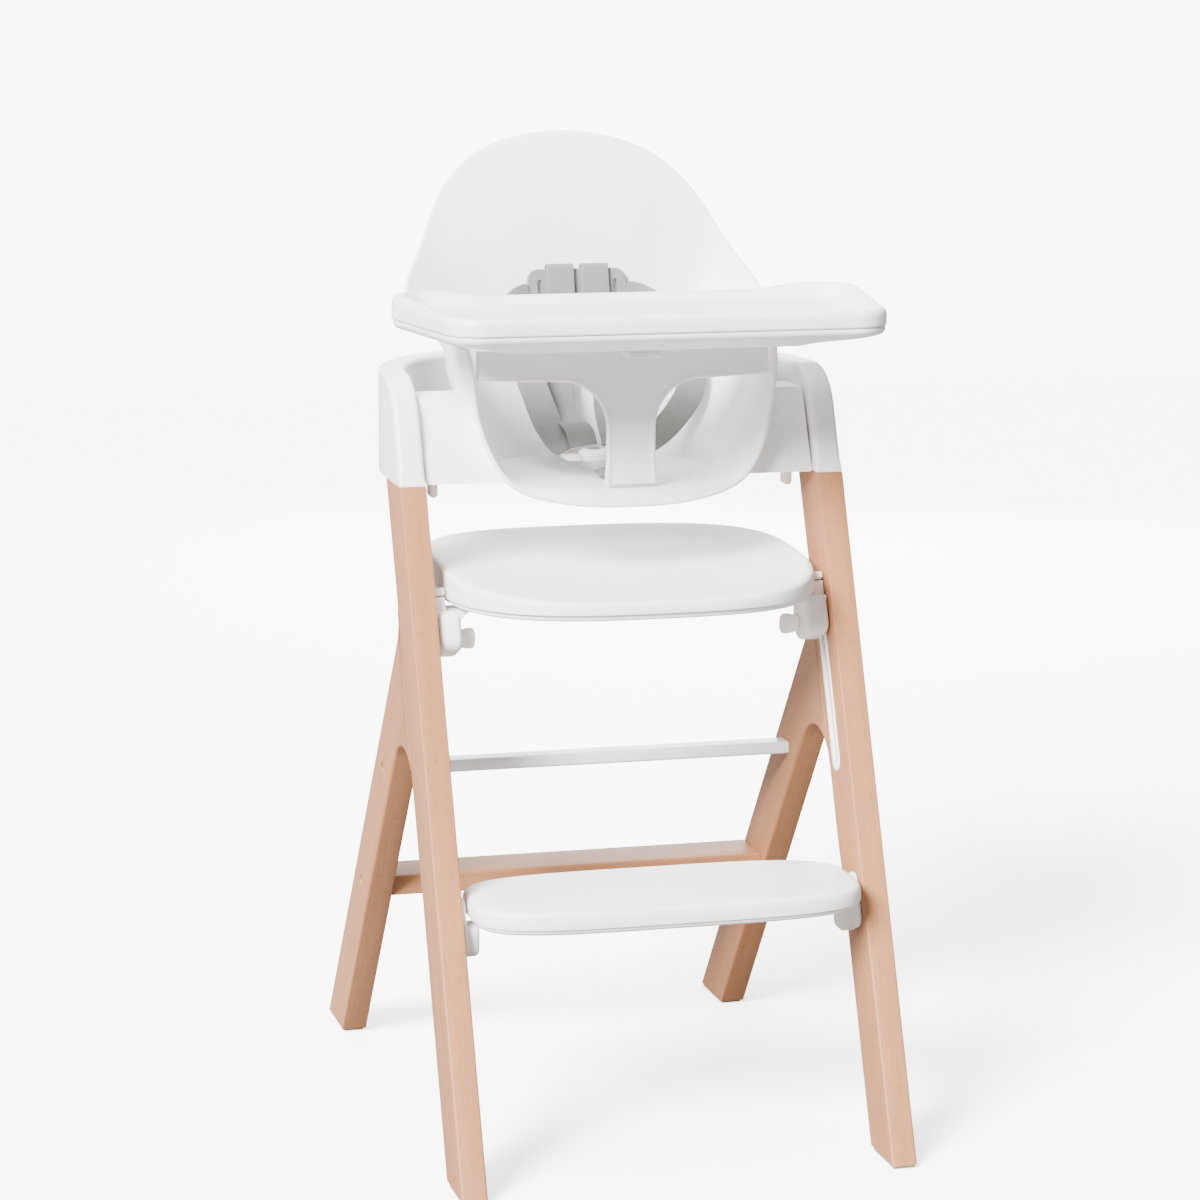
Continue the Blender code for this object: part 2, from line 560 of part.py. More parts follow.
def clamp(side, s):
    """The clamp of the seat plate: body, cap, stud with a flat head in the rail, and knob."""
    outer = INNER_X - RAIL_PROUD - GAP
    axis_y = rail_middle(CLAMP_Z)
    half = 0.0220
    pivot = (axis_y - 0.006, CLAMP_Z)
    lean = -LEG_ANGLE

    def slab(name, x_low, x_high, z_low, z_high, y_half, group=PARTS, material=None):
        low_x, high_x = sorted((s * x_low, s * x_high))
        return block(name, (low_x, pivot[0] - y_half, z_low), (high_x, pivot[0] + y_half, z_high),
                     material, group, lean, pivot)

    body = slab(f"seat_bracket_{side}", CLAMP_X, outer, CLAMP_LOW + 0.001, SEAT_LOW - 0.0060, half,
                PARTS, WHITE)
    soften(body, 0.0070, 3)
    arm = slab(f"bracket_arm_{side}", SEAT_HALF_W + 0.0010, outer, SEAT_LOW - 0.020, CLAMP_SPLIT, 0.0160,
               CUTTERS)
    combine(body, [arm], "UNION")
    under = board(f"bracket_under_{side}", seat_outline(-0.0008), SEAT_LOW - 0.0040, SEAT_LOW + 0.060,
                  "Z", None, CUTTERS)
    bore = rod(f"stud_bore_{side}", (s * (CLAMP_X - 0.002), axis_y, CLAMP_Z),
               (s * (outer + 0.002), axis_y, CLAMP_Z), 0.0034, None, CUTTERS, 12)
    combine(body, [under, bore], "DIFFERENCE")
    cap = slab(f"seat_bracket_cap_{side}", SEAT_HALF_W + 0.0010, outer, CLAMP_SPLIT + GAP, CLAMP_HIGH,
               0.0160, PARTS, WHITE)
    soften(cap, 0.0012, 2)
    face = INNER_X - RAIL_PROUD
    shank = rod(f"stud_shank_{side}", (s * (CLAMP_X - 0.0100), axis_y, CLAMP_Z),
                (s * (face + 0.0040), axis_y, CLAMP_Z), 0.0030, None, PARTS, 12)
    head = block(f"stud_head_{side}", (s * (face + 0.0029), axis_y - 0.0060, CLAMP_Z - 0.0060),
                 (s * (face + 0.0058), axis_y + 0.0060, CLAMP_Z + 0.0060), None,
                 PARTS, lean, (axis_y, CLAMP_Z))
    combine(head, [shank], "UNION")
    head = baked(head)
    bpy.data.objects.remove(shank)
    head.name = f"clamp_stud_{side}"
    head.data.materials.clear()
    head.data.materials.append(STEEL)
    knob(side, s, axis_y)


def knob(side, s, axis_y):
    """A flat paddle on a short collar, turned by finger and thumb."""
    inner, outer = CLAMP_X - 0.0180, CLAMP_X - 0.0005
    half = 0.0100
    outline = [(outer - 0.0030, -half), (outer - 0.0030, half)]
    outline += [(inner + 0.004 + 0.004 * math.cos(a), half - 0.004 + 0.004 * math.sin(a))
                for a in np.radians(np.linspace(90, 180, 5))]
    outline += [(inner + 0.004 + 0.004 * math.cos(a), -half + 0.004 + 0.004 * math.sin(a))
                for a in np.radians(np.linspace(180, 270, 5))]
    outline = [(s * x, CLAMP_Z + z) for x, z in outline]
    paddle = board(f"clamp_knob_{side}", outline, axis_y - 0.0045, axis_y + 0.0045, "Y", WHITE)
    soften(paddle, 0.0020, 2)
    collar = rod(f"knob_collar_{side}", (s * (outer - 0.0060), axis_y, CLAMP_Z),
                 (s * outer, axis_y, CLAMP_Z), 0.0085, None, CUTTERS, 20)
    combine(paddle, [collar], "UNION")
    bore = rod(f"knob_bore_{side}", (s * (inner + 0.0070), axis_y, CLAMP_Z),
               (s * (outer + 0.001), axis_y, CLAMP_Z), 0.0033, None, CUTTERS, 12)
    combine(paddle, [bore], "DIFFERENCE")
    origin_to(paddle, (s * outer, axis_y, CLAMP_Z))


def origin_to(thing, point):
    """Move a piece's origin to its joint, leaving the piece where it is."""
    point = Vector(point)
    thing.data.transform(Matrix.Translation(-point))
    thing.location = point


def foot_outline(inset):
    return oval(FOOT_HALF_W - inset, FOOT_HALF_D - inset, FOOT_Y, FOOT_OVAL)


def foot_screw_places():
    """Where a screw holds a footplate bracket: (y, z)."""
    return [(front_face(z) + FRONT_DEPTH / 2 + 0.020, z) for z in (0.2120,)]


def footplate():
    """The footplate: a softly crowned cover on a base with a thin lip, on two screwed brackets."""
    def flat(x, y):
        return 0.0

    cover = [(0.003, FOOT_SPLIT + GAP, 0), (0.0, FOOT_SPLIT + 0.0020, 0), (0.0, FOOT_HIGH - 0.008, 0),
             (0.0015, FOOT_HIGH - 0.0040, 0), (0.005, FOOT_HIGH - 0.0015, 0),
             (0.012, FOOT_HIGH - 0.0005, 0), (0.040, FOOT_HIGH, 0)]
    smooth(layered("footplate_cover", cover, foot_outline, flat, WHITE), 60)
    base = [(0.012, FOOT_LOW, 0), (0.005, FOOT_LOW + 0.001, 0), (0.002, FOOT_SPLIT - 0.001, 0),
            (0.004, FOOT_SPLIT, 0)]
    smooth(layered("footplate_base", base, foot_outline, flat, WHITE), 60)
    screws = []
    for side, s in (("left", -1), ("right", 1)):
        outer = INNER_X - GAP
        middle_z = (FOOT_BRACKET_LOW + FOOT_BRACKET_HIGH) / 2
        middle_y = front_face(middle_z) + FRONT_DEPTH / 2
        low_x, high_x = sorted((s * (FOOT_HALF_W + 0.0020), s * outer))
        flange = block(f"footplate_bracket_{side}", (low_x, middle_y - 0.022, FOOT_BRACKET_LOW),
                       (high_x, middle_y + 0.026, FOOT_BRACKET_HIGH), WHITE, PARTS,
                       -LEG_ANGLE, (middle_y, middle_z))
        soften(flange, 0.0020, 2)
        boss_y = front_face(FOOT_LOW) + FRONT_DEPTH / 2
        low_x, high_x = sorted((s * FOOT_BOSS_X, s * (outer - 0.0005)))
        boss = block(f"bracket_boss_{side}", (low_x, boss_y - 0.0200, FOOT_BRACKET_LOW + 0.001),
                     (high_x, boss_y + 0.0064, FOOT_LOW - GAP), None, CUTTERS, 0.0)
        soften(boss, 0.0060, 3)
        combine(flange, [boss], "UNION")
        cuts = []
        for k, (y, z) in enumerate(foot_screw_places()):
            cuts.append(rod(f"flange_hole_{side}_{k}", (s * (FOOT_BOSS_X - 0.005), y, z),
                            (s * (outer + 0.001), y, z), 0.0023, None, CUTTERS, 12))
            head = rod(f"screw_{side}_{k}", (s * (FOOT_HALF_W + 0.0017), y, z),
                       (s * (FOOT_HALF_W + 0.0002), y, z), 0.0040, None, PARTS, 16, 0.0034)
            shank = rod(f"screw_shank_{side}_{k}", (s * (FOOT_HALF_W + 0.0030), y, z),
                        (s * (INNER_X + 0.0150), y, z), 0.0020, None, PARTS, 12)
            screws.append(stepped(f"foot_screw_{side}_{k}", head, shank))
        combine(flange, cuts, "DIFFERENCE")
    name_each(("footplate_screw_left", "footplate_screw_right"), screws, STEEL)


# ---------------------------------------------------------------- infant seat
def seat_columns():
    """Ribs of the infant seat from front middle to back middle: pan edge, wall and rim.

    Each rib is the inner surface at one place round the seat, from the pan to the rim.
    """
    return np.array([
        [(0.000, -0.040, 0.6120), (0.000, -0.060, 0.6130), (0.000, -0.074, 0.6120),
         (0.000, -0.085, 0.6070), (0.000, -0.092, 0.5970)],
        [(0.045, -0.038, 0.6120), (0.048, -0.058, 0.6130), (0.050, -0.072, 0.6125),
         (0.052, -0.083, 0.6085), (0.053, -0.089, 0.5990)],
        [(0.078, -0.034, 0.6125), (0.084, -0.050, 0.6140), (0.089, -0.062, 0.6145),
         (0.094, -0.072, 0.6135), (0.098, -0.079, 0.6100)],
        [(0.094, -0.026, 0.6150), (0.104, -0.038, 0.6200), (0.111, -0.049, 0.6245),
         (0.118, -0.060, 0.6290), (0.1245, -0.071, 0.6330)],
        [(0.100, -0.012, 0.6165), (0.116, -0.021, 0.6320), (0.126, -0.031, 0.6500),
         (0.134, -0.045, 0.6670), (0.1420, -0.062, 0.6790)],
        [(0.103, 0.006, 0.6165), (0.124, -0.001, 0.6450), (0.1345, -0.010, 0.6800),
         (0.1410, -0.026, 0.7150), (0.1485, -0.050, 0.7430)],
        [(0.103, 0.030, 0.6165), (0.127, 0.031, 0.6530), (0.1400, 0.031, 0.6920),
         (0.1520, 0.030, 0.7250), (0.1670, 0.022, 0.7480)],
        [(0.098, 0.056, 0.6170), (0.122, 0.068, 0.6640), (0.1370, 0.075, 0.7080),
         (0.1550, 0.081, 0.7450), (0.1790, 0.086, 0.7780)],
        [(0.086, 0.078, 0.6180), (0.106, 0.093, 0.6760), (0.1180, 0.103, 0.7310),
         (0.1340, 0.117, 0.7840), (0.1560, 0.130, 0.8240)],
        [(0.070, 0.090, 0.6190), (0.085, 0.105, 0.6850), (0.0930, 0.117, 0.7500),
         (0.1060, 0.138, 0.8240), (0.1235, 0.166, 0.8810)],
        [(0.042, 0.096, 0.6200), (0.050, 0.110, 0.6900), (0.0550, 0.123, 0.7640),
         (0.0620, 0.147, 0.8490), (0.0760, 0.186, 0.9170)],
        [(0.000, 0.098, 0.6200), (0.000, 0.112, 0.6920), (0.000, 0.125, 0.7680),
         (0.000, 0.150, 0.8550), (0.000, 0.193, 0.9310)],
    ])


PAN_MIDDLE = (0.0, 0.028, 0.6090)


def seat_rings(columns=44, rows=9, grow=0.0):
    """Rings of the infant seat's surface from pan edge to rim, moved outwards by grow."""
    half = seat_columns()
    left = half[1:-1][::-1] * np.array([-1.0, 1.0, 1.0])
    ribs = np.concatenate([half, left])
    around = np.stack([through(ribs[:, k], columns, True) for k in range(ribs.shape[1])])
    grid = np.stack([through(around[:, c], rows) for c in range(columns)], axis=1)
    along_c = np.roll(grid, -1, 1) - np.roll(grid, 1, 1)
    along_r = np.gradient(grid, axis=0)
    normal = np.cross(along_r, along_c)
    normal /= np.linalg.norm(normal, axis=2, keepdims=True)
    outward = grid - np.array([0.0, 0.03, 0.75])
    if (normal * outward).sum() < 0:
        normal = -normal
    return grid + normal * grow


def infant_seat():
    """One moulded shell with a wing at each side that sits inside the backrest band."""
    inner = seat_rings()
    outer = seat_rings(grow=SHELL)
    build = bmesh.new()
    count = inner.shape[1]
    rows_in = [[build.verts.new(p) for p in ring] for ring in inner]
    rows_out = [[build.verts.new(p) for p in ring] for ring in outer]
    for rows in (rows_in, rows_out):
        for lower, upper in zip(rows, rows[1:]):
            for i in range(count):
                j = (i + 1) % count
                build.faces.new((lower[i], lower[j], upper[j], upper[i]))
    pole_in = build.verts.new(PAN_MIDDLE)
    pole_out = build.verts.new((PAN_MIDDLE[0], PAN_MIDDLE[1], PAN_MIDDLE[2] - SHELL))
    for i in range(count):
        j = (i + 1) % count
        build.faces.new((rows_in[-1][i], rows_in[-1][j], rows_out[-1][j], rows_out[-1][i]))
        build.faces.new((pole_in, rows_in[0][i], rows_in[0][j]))
        build.faces.new((pole_out, rows_out[0][j], rows_out[0][i]))
    shell = add("infant_seat", tidy_mesh(build, "infant_seat"), WHITE)

    plug_rings = list(seat_rings(grow=SHELL / 2))
    build = bmesh.new()
    rows = [[build.verts.new(p) for p in ring] for ring in plug_rings]
    for lower, upper in zip(rows, rows[1:]):
        for i in range(count):
            j = (i + 1) % count
            build.faces.new((lower[i], lower[j], upper[j], upper[i]))
    low_pole = build.verts.new((PAN_MIDDLE[0], PAN_MIDDLE[1], PAN_MIDDLE[2] - SHELL / 2))
    high_pole = build.verts.new((0.0, 0.02, 0.82))
    for i in range(count):
        j = (i + 1) % count
        build.faces.new((low_pole, rows[0][j], rows[0][i]))
        build.faces.new((high_pole, rows[-1][i], rows[-1][j]))
    plug = add("seat_hollow", tidy_mesh(build, "seat_hollow"), None, CUTTERS)

    wings = []
    for side, s in (("left", -1), ("right", 1)):
        def front(z):
            return WING_FRONT_Y + WING_LEAN * (z - CAP_Z)

        rear = 0.0280
        outline = [(front(CAP_Z), CAP_Z), (rear, CAP_Z), (rear, WING_TOP), (front(WING_TOP), WING_TOP)]
        low_x, high_x = sorted((s * 0.100, s * WING_X))
        wing = board(f"wing_{side}", outline, low_x, high_x, "X", None, CUTTERS)
        soften(wing, 0.0030, 2)
        wall = 0.0030
        pocket = board(f"wing_pocket_{side}",
                       [(front(CAP_Z) + wall, CAP_Z - 0.002), (rear - wall, CAP_Z - 0.002),
                        (rear - wall, WING_TOP - wall), (front(WING_TOP) + wall, WING_TOP - wall)],
                       *sorted((s * 0.1480, s * (WING_X - wall))), "X", None, CUTTERS)
        combine(wing, [pocket, plug], "DIFFERENCE")
        wings.append(wing)
    combine(shell, wings, "UNION")
    smooth(shell, 50)
    return shell


def levers():
    """Finger hooks under the wings that unlatch the infant seat, each on a pin along Y."""
    pins = []
    for side, s in (("left", -1), ("right", 1)):
        half = 0.0040
        low, high = 0.6030, 0.6720
        outline = [(LEVER_X + half, high), (LEVER_X - half, high)]
        outline += [(LEVER_X + half * math.cos(a), low + half * math.sin(a))
                    for a in np.radians(np.linspace(180, 360, 9))]
        outline = [(s * x, z) for x, z in outline]
        lever = board(f"release_lever_{side}", outline, LEVER_Y - 0.0070, LEVER_Y + 0.0070, "Y", WHITE)
        soften(lever, 0.0010, 2, 60)
        hole = rod(f"lever_hole_{side}", (s * LEVER_X, LEVER_Y - 0.010, LEVER_PIVOT_Z),
                   (s * LEVER_X, LEVER_Y + 0.010, LEVER_PIVOT_Z), 0.0019, None, CUTTERS, 12)
        combine(lever, [hole], "DIFFERENCE")
        origin_to(lever, (s * LEVER_X, LEVER_Y, LEVER_PIVOT_Z))
        pins.append(rod(f"pin_{side}", (s * LEVER_X, LEVER_Y - 0.0078, LEVER_PIVOT_Z),
                        (s * LEVER_X, LEVER_Y + 0.0090, LEVER_PIVOT_Z), 0.0016, None, PARTS, 12))
    name_each(("lever_pin_left", "lever_pin_right"), pins, STEEL)


def crotch_bar():
    """The T-shaped bar: a bowed crossbar between the seat sides and a flared post to the pan."""
    def bow(x):
        return T_MID_Y + (T_END_Y - T_MID_Y) * (x / T_END_X) ** 2

    rings = []
    half = T_THICK / 2
    for x in np.linspace(-T_END_X, T_END_X, 21):
        y = bow(x)
        rings.append([(x, y - half, T_LOW), (x, y + half, T_LOW),
                      (x, y + half, T_HIGH), (x, y - half, T_HIGH)])
    bar = skin("t_bar", rings, WHITE)
    outline = [(-T_POST_HALF, T_POST_LOW), (T_POST_HALF, T_POST_LOW)]
    corner_z = T_LOW + 0.0005
    outline += arc((T_POST_HALF + T_FLARE, corner_z - T_FLARE), T_FLARE, 180, 95, 8)
    outline += arc((-T_POST_HALF - T_FLARE, corner_z - T_FLARE), T_FLARE, 85, 0, 8)
    post = board("t_post", outline, T_MID_Y - half + 0.0010, T_MID_Y + half - 0.0010, "Y", None, CUTTERS)
    combine(bar, [post], "UNION")
    smooth(bar, 50)
    return bar


# ---------------------------------------------------------------- tray
def tray_outline(inset, count=5):
    """The tray's plan: wider at the back, with round corners, moved in by inset."""
    corners = [((TRAY_FRONT_X, TRAY_FRONT_Y), 0.036, -90), ((TRAY_REAR_X, TRAY_REAR_Y), 0.030, 0),
               ((-TRAY_REAR_X, TRAY_REAR_Y), 0.030, 90), ((-TRAY_FRONT_X, TRAY_FRONT_Y), 0.036, 180)]
    points = []
    for (x, y), radius, start in corners:
        r = max(radius - inset, 0.004)
        x_in, y_in = abs(x) - inset, abs(y - (TRAY_FRONT_Y + TRAY_REAR_Y) / 2) - inset
        cx = math.copysign(x_in - r, x)
        cy = (TRAY_FRONT_Y + TRAY_REAR_Y) / 2 + math.copysign(y_in - r, 1 if start in (0, 90) else -1)
        points += arc((cx, cy), r, start, start + 90, count)
    full = []
    straights = {count - 1: 3, 2 * count - 1: 5, 3 * count - 1: 3, 4 * count - 1: 5}
    for i, a in enumerate(points):
        b = points[(i + 1) % len(points)]
        extra = straights.get(i, 0)
        for k in range(extra + 1):
            f = k / (extra + 1)
            full.append((a[0] + (b[0] - a[0]) * f, a[1] + (b[1] - a[1]) * f))
    return full


def horn(x, y):
    """The rear corners of the tray's rim rise a little."""
    side = min(max((abs(x) - 0.150) / 0.030, 0.0), 1.0)
    back = min(max((y + 0.110) / 0.060, 0.0), 1.0)
    return TRAY_HORN * (3 * side ** 2 - 2 * side ** 3) * (3 * back ** 2 - 2 * back ** 3)


def tray():
    """Upper tray with a raised rim, lower tray with a keel and guides, and the release paddle."""
    cover = [(0.0100, TRAY_SPLIT + 0.0045, 0.0), (0.0055, TRAY_SPLIT + 0.0030, 0.0),
             (0.0035, TRAY_SPLIT + 0.0003, 0.0), (0.0010, TRAY_SPLIT + 0.0003, 0.0),
             (0.0000, TRAY_SPLIT + 0.0020, 0.0), (0.0000, TRAY_RIM - 0.0060, 0.6),
             (0.0015, TRAY_RIM - 0.0020, 1.0), (0.0050, TRAY_RIM, 1.0), (0.0110, TRAY_RIM, 1.0),
             (0.0160, TRAY_RIM - 0.0020, 0.8), (0.0240, TRAY_FLOOR + 0.0010, 0.2),
             (0.0320, TRAY_FLOOR, 0.0)]
    smooth(layered("tray_cover", cover, tray_outline, horn, WHITE), 60)
    base = [(0.0080, TRAY_SPLIT - 0.0040, 0), (0.0050, TRAY_SPLIT, 0), (0.0020, TRAY_SPLIT, 0),
            (0.0010, TRAY_SPLIT - 0.0030, 0), (0.0040, TRAY_SPLIT - 0.0070, 0),
            (0.0300, TRAY_SPLIT - 0.0130, 0), (0.0600, TRAY_KEEL + 0.0040, 0),
            (0.0780, TRAY_KEEL, 0)]
    body = layered("tray_base", base, tray_outline, horn, WHITE)
    guides = []
    for s in (-1, 1):
        low_x, high_x = sorted((s * 0.1700, s * 0.1745))
        guides.append(block(f"tray_guide_{s}", (low_x, -0.150, 0.7440), (high_x, -0.045, 0.7640),
                            None, CUTTERS))
    lugs = [block(f"paddle_lug_{s}", (min(s * 0.0175, s * 0.0215), PADDLE_Y - 0.004, PADDLE_Z - 0.003),
                  (max(s * 0.0175, s * 0.0215), PADDLE_Y + 0.004, TRAY_KEEL + 0.002), None, CUTTERS)
            for s in (-1, 1)]
    combine(body, guides + lugs, "UNION")
    eye = rod("lug_eye", (-0.030, PADDLE_Y, PADDLE_Z), (0.030, PADDLE_Y, PADDLE_Z), 0.0014, None,
              CUTTERS, 12)
    combine(body, [eye], "DIFFERENCE")
    smooth(body, 60)
    paddle = block("tray_release", (-0.0170, PADDLE_Y - 0.0310, PADDLE_Z - 0.0030),
                   (0.0170, PADDLE_Y + 0.0030, PADDLE_Z + 0.0015), WHITE)
    soften(paddle, 0.0010, 2)
    hole = rod("paddle_eye", (-0.030, PADDLE_Y, PADDLE_Z), (0.030, PADDLE_Y, PADDLE_Z), 0.00135, None,
               CUTTERS, 12)
    combine(paddle, [hole], "DIFFERENCE")
    origin_to(paddle, (0.0, PADDLE_Y, PADDLE_Z))
    rod("tray_release_pin", (-0.0210, PADDLE_Y, PADDLE_Z), (0.0210, PADDLE_Y, PADDLE_Z), 0.0010, STEEL,
        PARTS, 12)


# ---------------------------------------------------------------- harness
def web(name, points, across, width=WEB_WIDTH, count=16):
    """A flat strap along a curve; across gives the direction of its width at each hand-set point."""
    path = through(points, count)
    sides = through(across, count)
    ahead = np.gradient(path, axis=0)
    rings = []
    for p, w, t in zip(path, sides, ahead):
        w = w - t * np.dot(w, t) / np.dot(t, t)
        w = w / np.linalg.norm(w)
        n = np.cross(w, t / np.linalg.norm(t))
        a, b = w * width / 2, n * WEB_THICK / 2
        rings.append([p - a - b, p + a - b, p + a + b, p - a + b])
    return skin(name, rings, WEBBING)


def harness():
    """Plate on the seat back, shoulder and side straps, crotch strap and buckle."""
    plate_y, lean = 0.1215, math.atan(0.17)
    outline = []
    w, h, r = PLATE_HALF_W, PLATE_HALF_H, 0.011
    for cx, cz, start in ((w - r, h - r, 0), (-w + r, h - r, 90), (-w + r, -h + r, 180), (w - r, -h + r, 270)):
        outline += arc((cx, PLATE_Z + cz), r, start, start + 90, 5)
    plate = board("harness_plate", outline, plate_y - 0.0020, plate_y + 0.0020, "Y", GREY)
    plate.data.transform(turned(-lean, plate_y, PLATE_Z))
    soften(plate, 0.0012, 2)
    slots = []
    for s in (-1, 1):
        slot = block(f"plate_slot_{s}", (min(s * 0.0365, s * 0.0405), plate_y - 0.010, PLATE_Z - 0.017),
                     (max(s * 0.0365, s * 0.0405), plate_y + 0.010, PLATE_Z + 0.017), None, CUTTERS,
                     -lean, (plate_y, PLATE_Z))
        slots.append(slot)
    combine(plate, slots, "DIFFERENCE")
    for side, s in (("left", -1), ("right", 1)):
        points = [(s * 0.0175, 0.1292, 0.7995), (s * 0.0175, 0.1270, 0.8028), (s * 0.0175, 0.1230, 0.8030),
                  (s * 0.0175, 0.1200, 0.7960), (s * 0.0180, 0.1145, 0.7700), (s * 0.0200, 0.1060, 0.7350),
                  (s * 0.0230, 0.0990, 0.6950), (s * 0.0240, 0.0900, 0.6600), (s * 0.0250, 0.0700, 0.6370),
                  (s * 0.0230, 0.0520, 0.6340)]
        web(f"shoulder_strap_{side}", points, [(s * 1.0, 0, 0)] * len(points))
        points = [(s * 0.0545, 0.1160, 0.7760), (s * 0.0700, 0.1090, 0.7700), (s * 0.0860, 0.0960, 0.7500),
                  (s * 0.0960, 0.0800, 0.7180), (s * 0.0960, 0.0660, 0.6860), (s * 0.0820, 0.0560, 0.6560),
                  (s * 0.0600, 0.0450, 0.6360), (s * 0.0440, 0.0380, 0.6300)]
        across = [(0, 0.15, 1), (s * 0.1, 0.1, 1), (-s * 0.35, 0.45, 0.8), (-s * 0.5, 0.85, 0.3),
                  (-s * 0.5, 0.85, 0.1), (-s * 0.4, 0.9, -0.1), (-s * 0.2, 0.9, -0.2), (-s * 0.2, 0.9, -0.1)]
        web(f"side_strap_{side}", points, across, 0.024)
    points = [(0.0, -0.0100, 0.6128), (0.0, 0.0000, 0.6145), (-0.0030, 0.0080, 0.6185)]
    web("crotch_strap", points, [(1, 0, 0)] * 3, 0.024, 8)
    buckle()


def turned(angle, y, z):
    """A turn about an axis along X through (y, z)."""
    pivot = Vector((0.0, y, z))
    return Matrix.Translation(pivot) @ Matrix.Rotation(angle, 4, "X") @ Matrix.Translation(-pivot)


def buckle():
    """A flat buckle that lies on the pan: body, a tongue at each side, and a push button."""
    x, y, z = BUCKLE
    low = z - 0.0055
    body = block("buckle_body", (x - 0.0150, y - 0.0140, low), (x + 0.0150, y + 0.0140, low + 0.0110), WHITE)
    soften(body, 0.0025, 2)
    seat = rod("button_seat", (x, y, low + 0.0060), (x, y, low + 0.0120), 0.0068, None, CUTTERS, 20)
    mouths = [block(f"mouth_{s}", (min(x + s * 0.0080, x + s * 0.0160), y - 0.0060, low + 0.0020),
                    (max(x + s * 0.0080, x + s * 0.0160), y + 0.0060, low + 0.0050), None, CUTTERS)
              for s in (-1, 1)]
    combine(body, [seat] + mouths, "DIFFERENCE")
    button = rod("buckle_button", (x, y, low + 0.0085), (x, y, low + 0.0118), 0.0063, GREY, PARTS, 20)
    origin_to(button, (x, y, low + 0.0118))
    for side, s in (("left", -1), ("right", 1)):
        tongue = block(f"buckle_tongue_{side}", (min(x + s * 0.0088, x + s * 0.0260), y - 0.0055, low + 0.0024),
                       (max(x + s * 0.0088, x + s * 0.0260), y + 0.0055, low + 0.0046), WHITE)
        loop = block(f"tongue_loop_{side}", (min(x + s * 0.0156, x + s * 0.0290), y - 0.0100, low + 0.0018),
                     (max(x + s * 0.0156, x + s * 0.0290), y + 0.0160, low + 0.0052), None, CUTTERS)
        combine(tongue, [loop], "UNION")


for side_name, sign in (("left", -1), ("right", 1)):
    front_leg(side_name, sign)
    rear_leg(side_name, sign)
    glides(side_name, sign)
    rail(side_name, sign)
    clamp(side_name, sign)
crossbars()
band()
seat_plate()
footplate()
infant_seat()
levers()
crotch_bar()
tray()
harness()
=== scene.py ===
"""High chair of beech and white moulded plastic, put together from the feet up."""
import math

import bmesh
import bpy
import numpy as np
from mathutils import Matrix, Vector


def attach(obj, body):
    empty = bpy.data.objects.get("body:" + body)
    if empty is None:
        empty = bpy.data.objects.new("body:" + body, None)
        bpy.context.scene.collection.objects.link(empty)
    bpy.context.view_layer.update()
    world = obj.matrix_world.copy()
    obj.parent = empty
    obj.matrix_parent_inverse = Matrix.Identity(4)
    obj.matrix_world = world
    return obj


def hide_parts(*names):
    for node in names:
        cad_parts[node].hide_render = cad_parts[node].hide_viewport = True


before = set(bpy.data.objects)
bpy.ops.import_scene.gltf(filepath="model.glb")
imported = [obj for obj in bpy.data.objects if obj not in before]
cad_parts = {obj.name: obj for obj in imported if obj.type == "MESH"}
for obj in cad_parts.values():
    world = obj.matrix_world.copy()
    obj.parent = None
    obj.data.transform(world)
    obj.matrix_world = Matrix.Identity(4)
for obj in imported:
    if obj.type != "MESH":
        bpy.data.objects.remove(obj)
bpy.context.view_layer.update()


# ---------------------------------------------------------------- camera
# Long lens from the front left, a little above the tray, turned so far
# that the left front foot stands at the lower edge of the frame.
eye = Vector((-0.9519, -3.4673, 1.1718))
azimuth, elevation, roll = math.radians(-15.2313), math.radians(10.7367), math.radians(0.3414)
back = Vector((math.sin(azimuth) * math.cos(elevation), -math.cos(azimuth) * math.cos(elevation),
               math.sin(elevation)))
right = (-back).cross(Vector((0, 0, 1))).normalized()
up = right.cross(-back)
across = right * math.cos(roll) + up * math.sin(roll)
upward = up * math.cos(roll) - right * math.sin(roll)
lens = bpy.data.cameras.new("camera")
lens.sensor_width = 36.0
lens.lens = 113.383
camera = bpy.data.objects.new("camera", lens)
camera.matrix_world = Matrix((
    (across.x, upward.x, back.x, eye.x),
    (across.y, upward.y, back.y, eye.y),
    (across.z, upward.z, back.z, eye.z),
    (0, 0, 0, 1)))
bpy.context.scene.collection.objects.link(camera)
bpy.context.scene.camera = camera


# ---------------------------------------------------------------- front legs
# Two straight beech timbers, planed and rounded over along their long edges,
# with a routed pocket on the inner face for the height rail. Clear satin lacquer.
TIMBER = 0.025
OUTER_X = 0.2175
INNER_X = OUTER_X - TIMBER
FOOT_Z = 0.0030
CAP_Z = 0.6170
LEG_FACE_Y, LEG_DEPTH, LEG_LEAN = -0.3105, 0.0626, 0.409
ROUND_OVER = 0.0028
GLUED_EDGE = 0.0004
SIDES = (("left", -1), ("right", 1))


def leg_face(z):
    """Y of the front face of a front leg at a height."""
    return LEG_FACE_Y + LEG_LEAN * z


def arc(centre, radius, start, end, count):
    """Points on a circle about the centre, from one angle to another in degrees."""
    turn = np.radians(np.linspace(start, end, count))
    return np.stack([centre[0] + radius * np.cos(turn), centre[1] + radius * np.sin(turn)], axis=1)


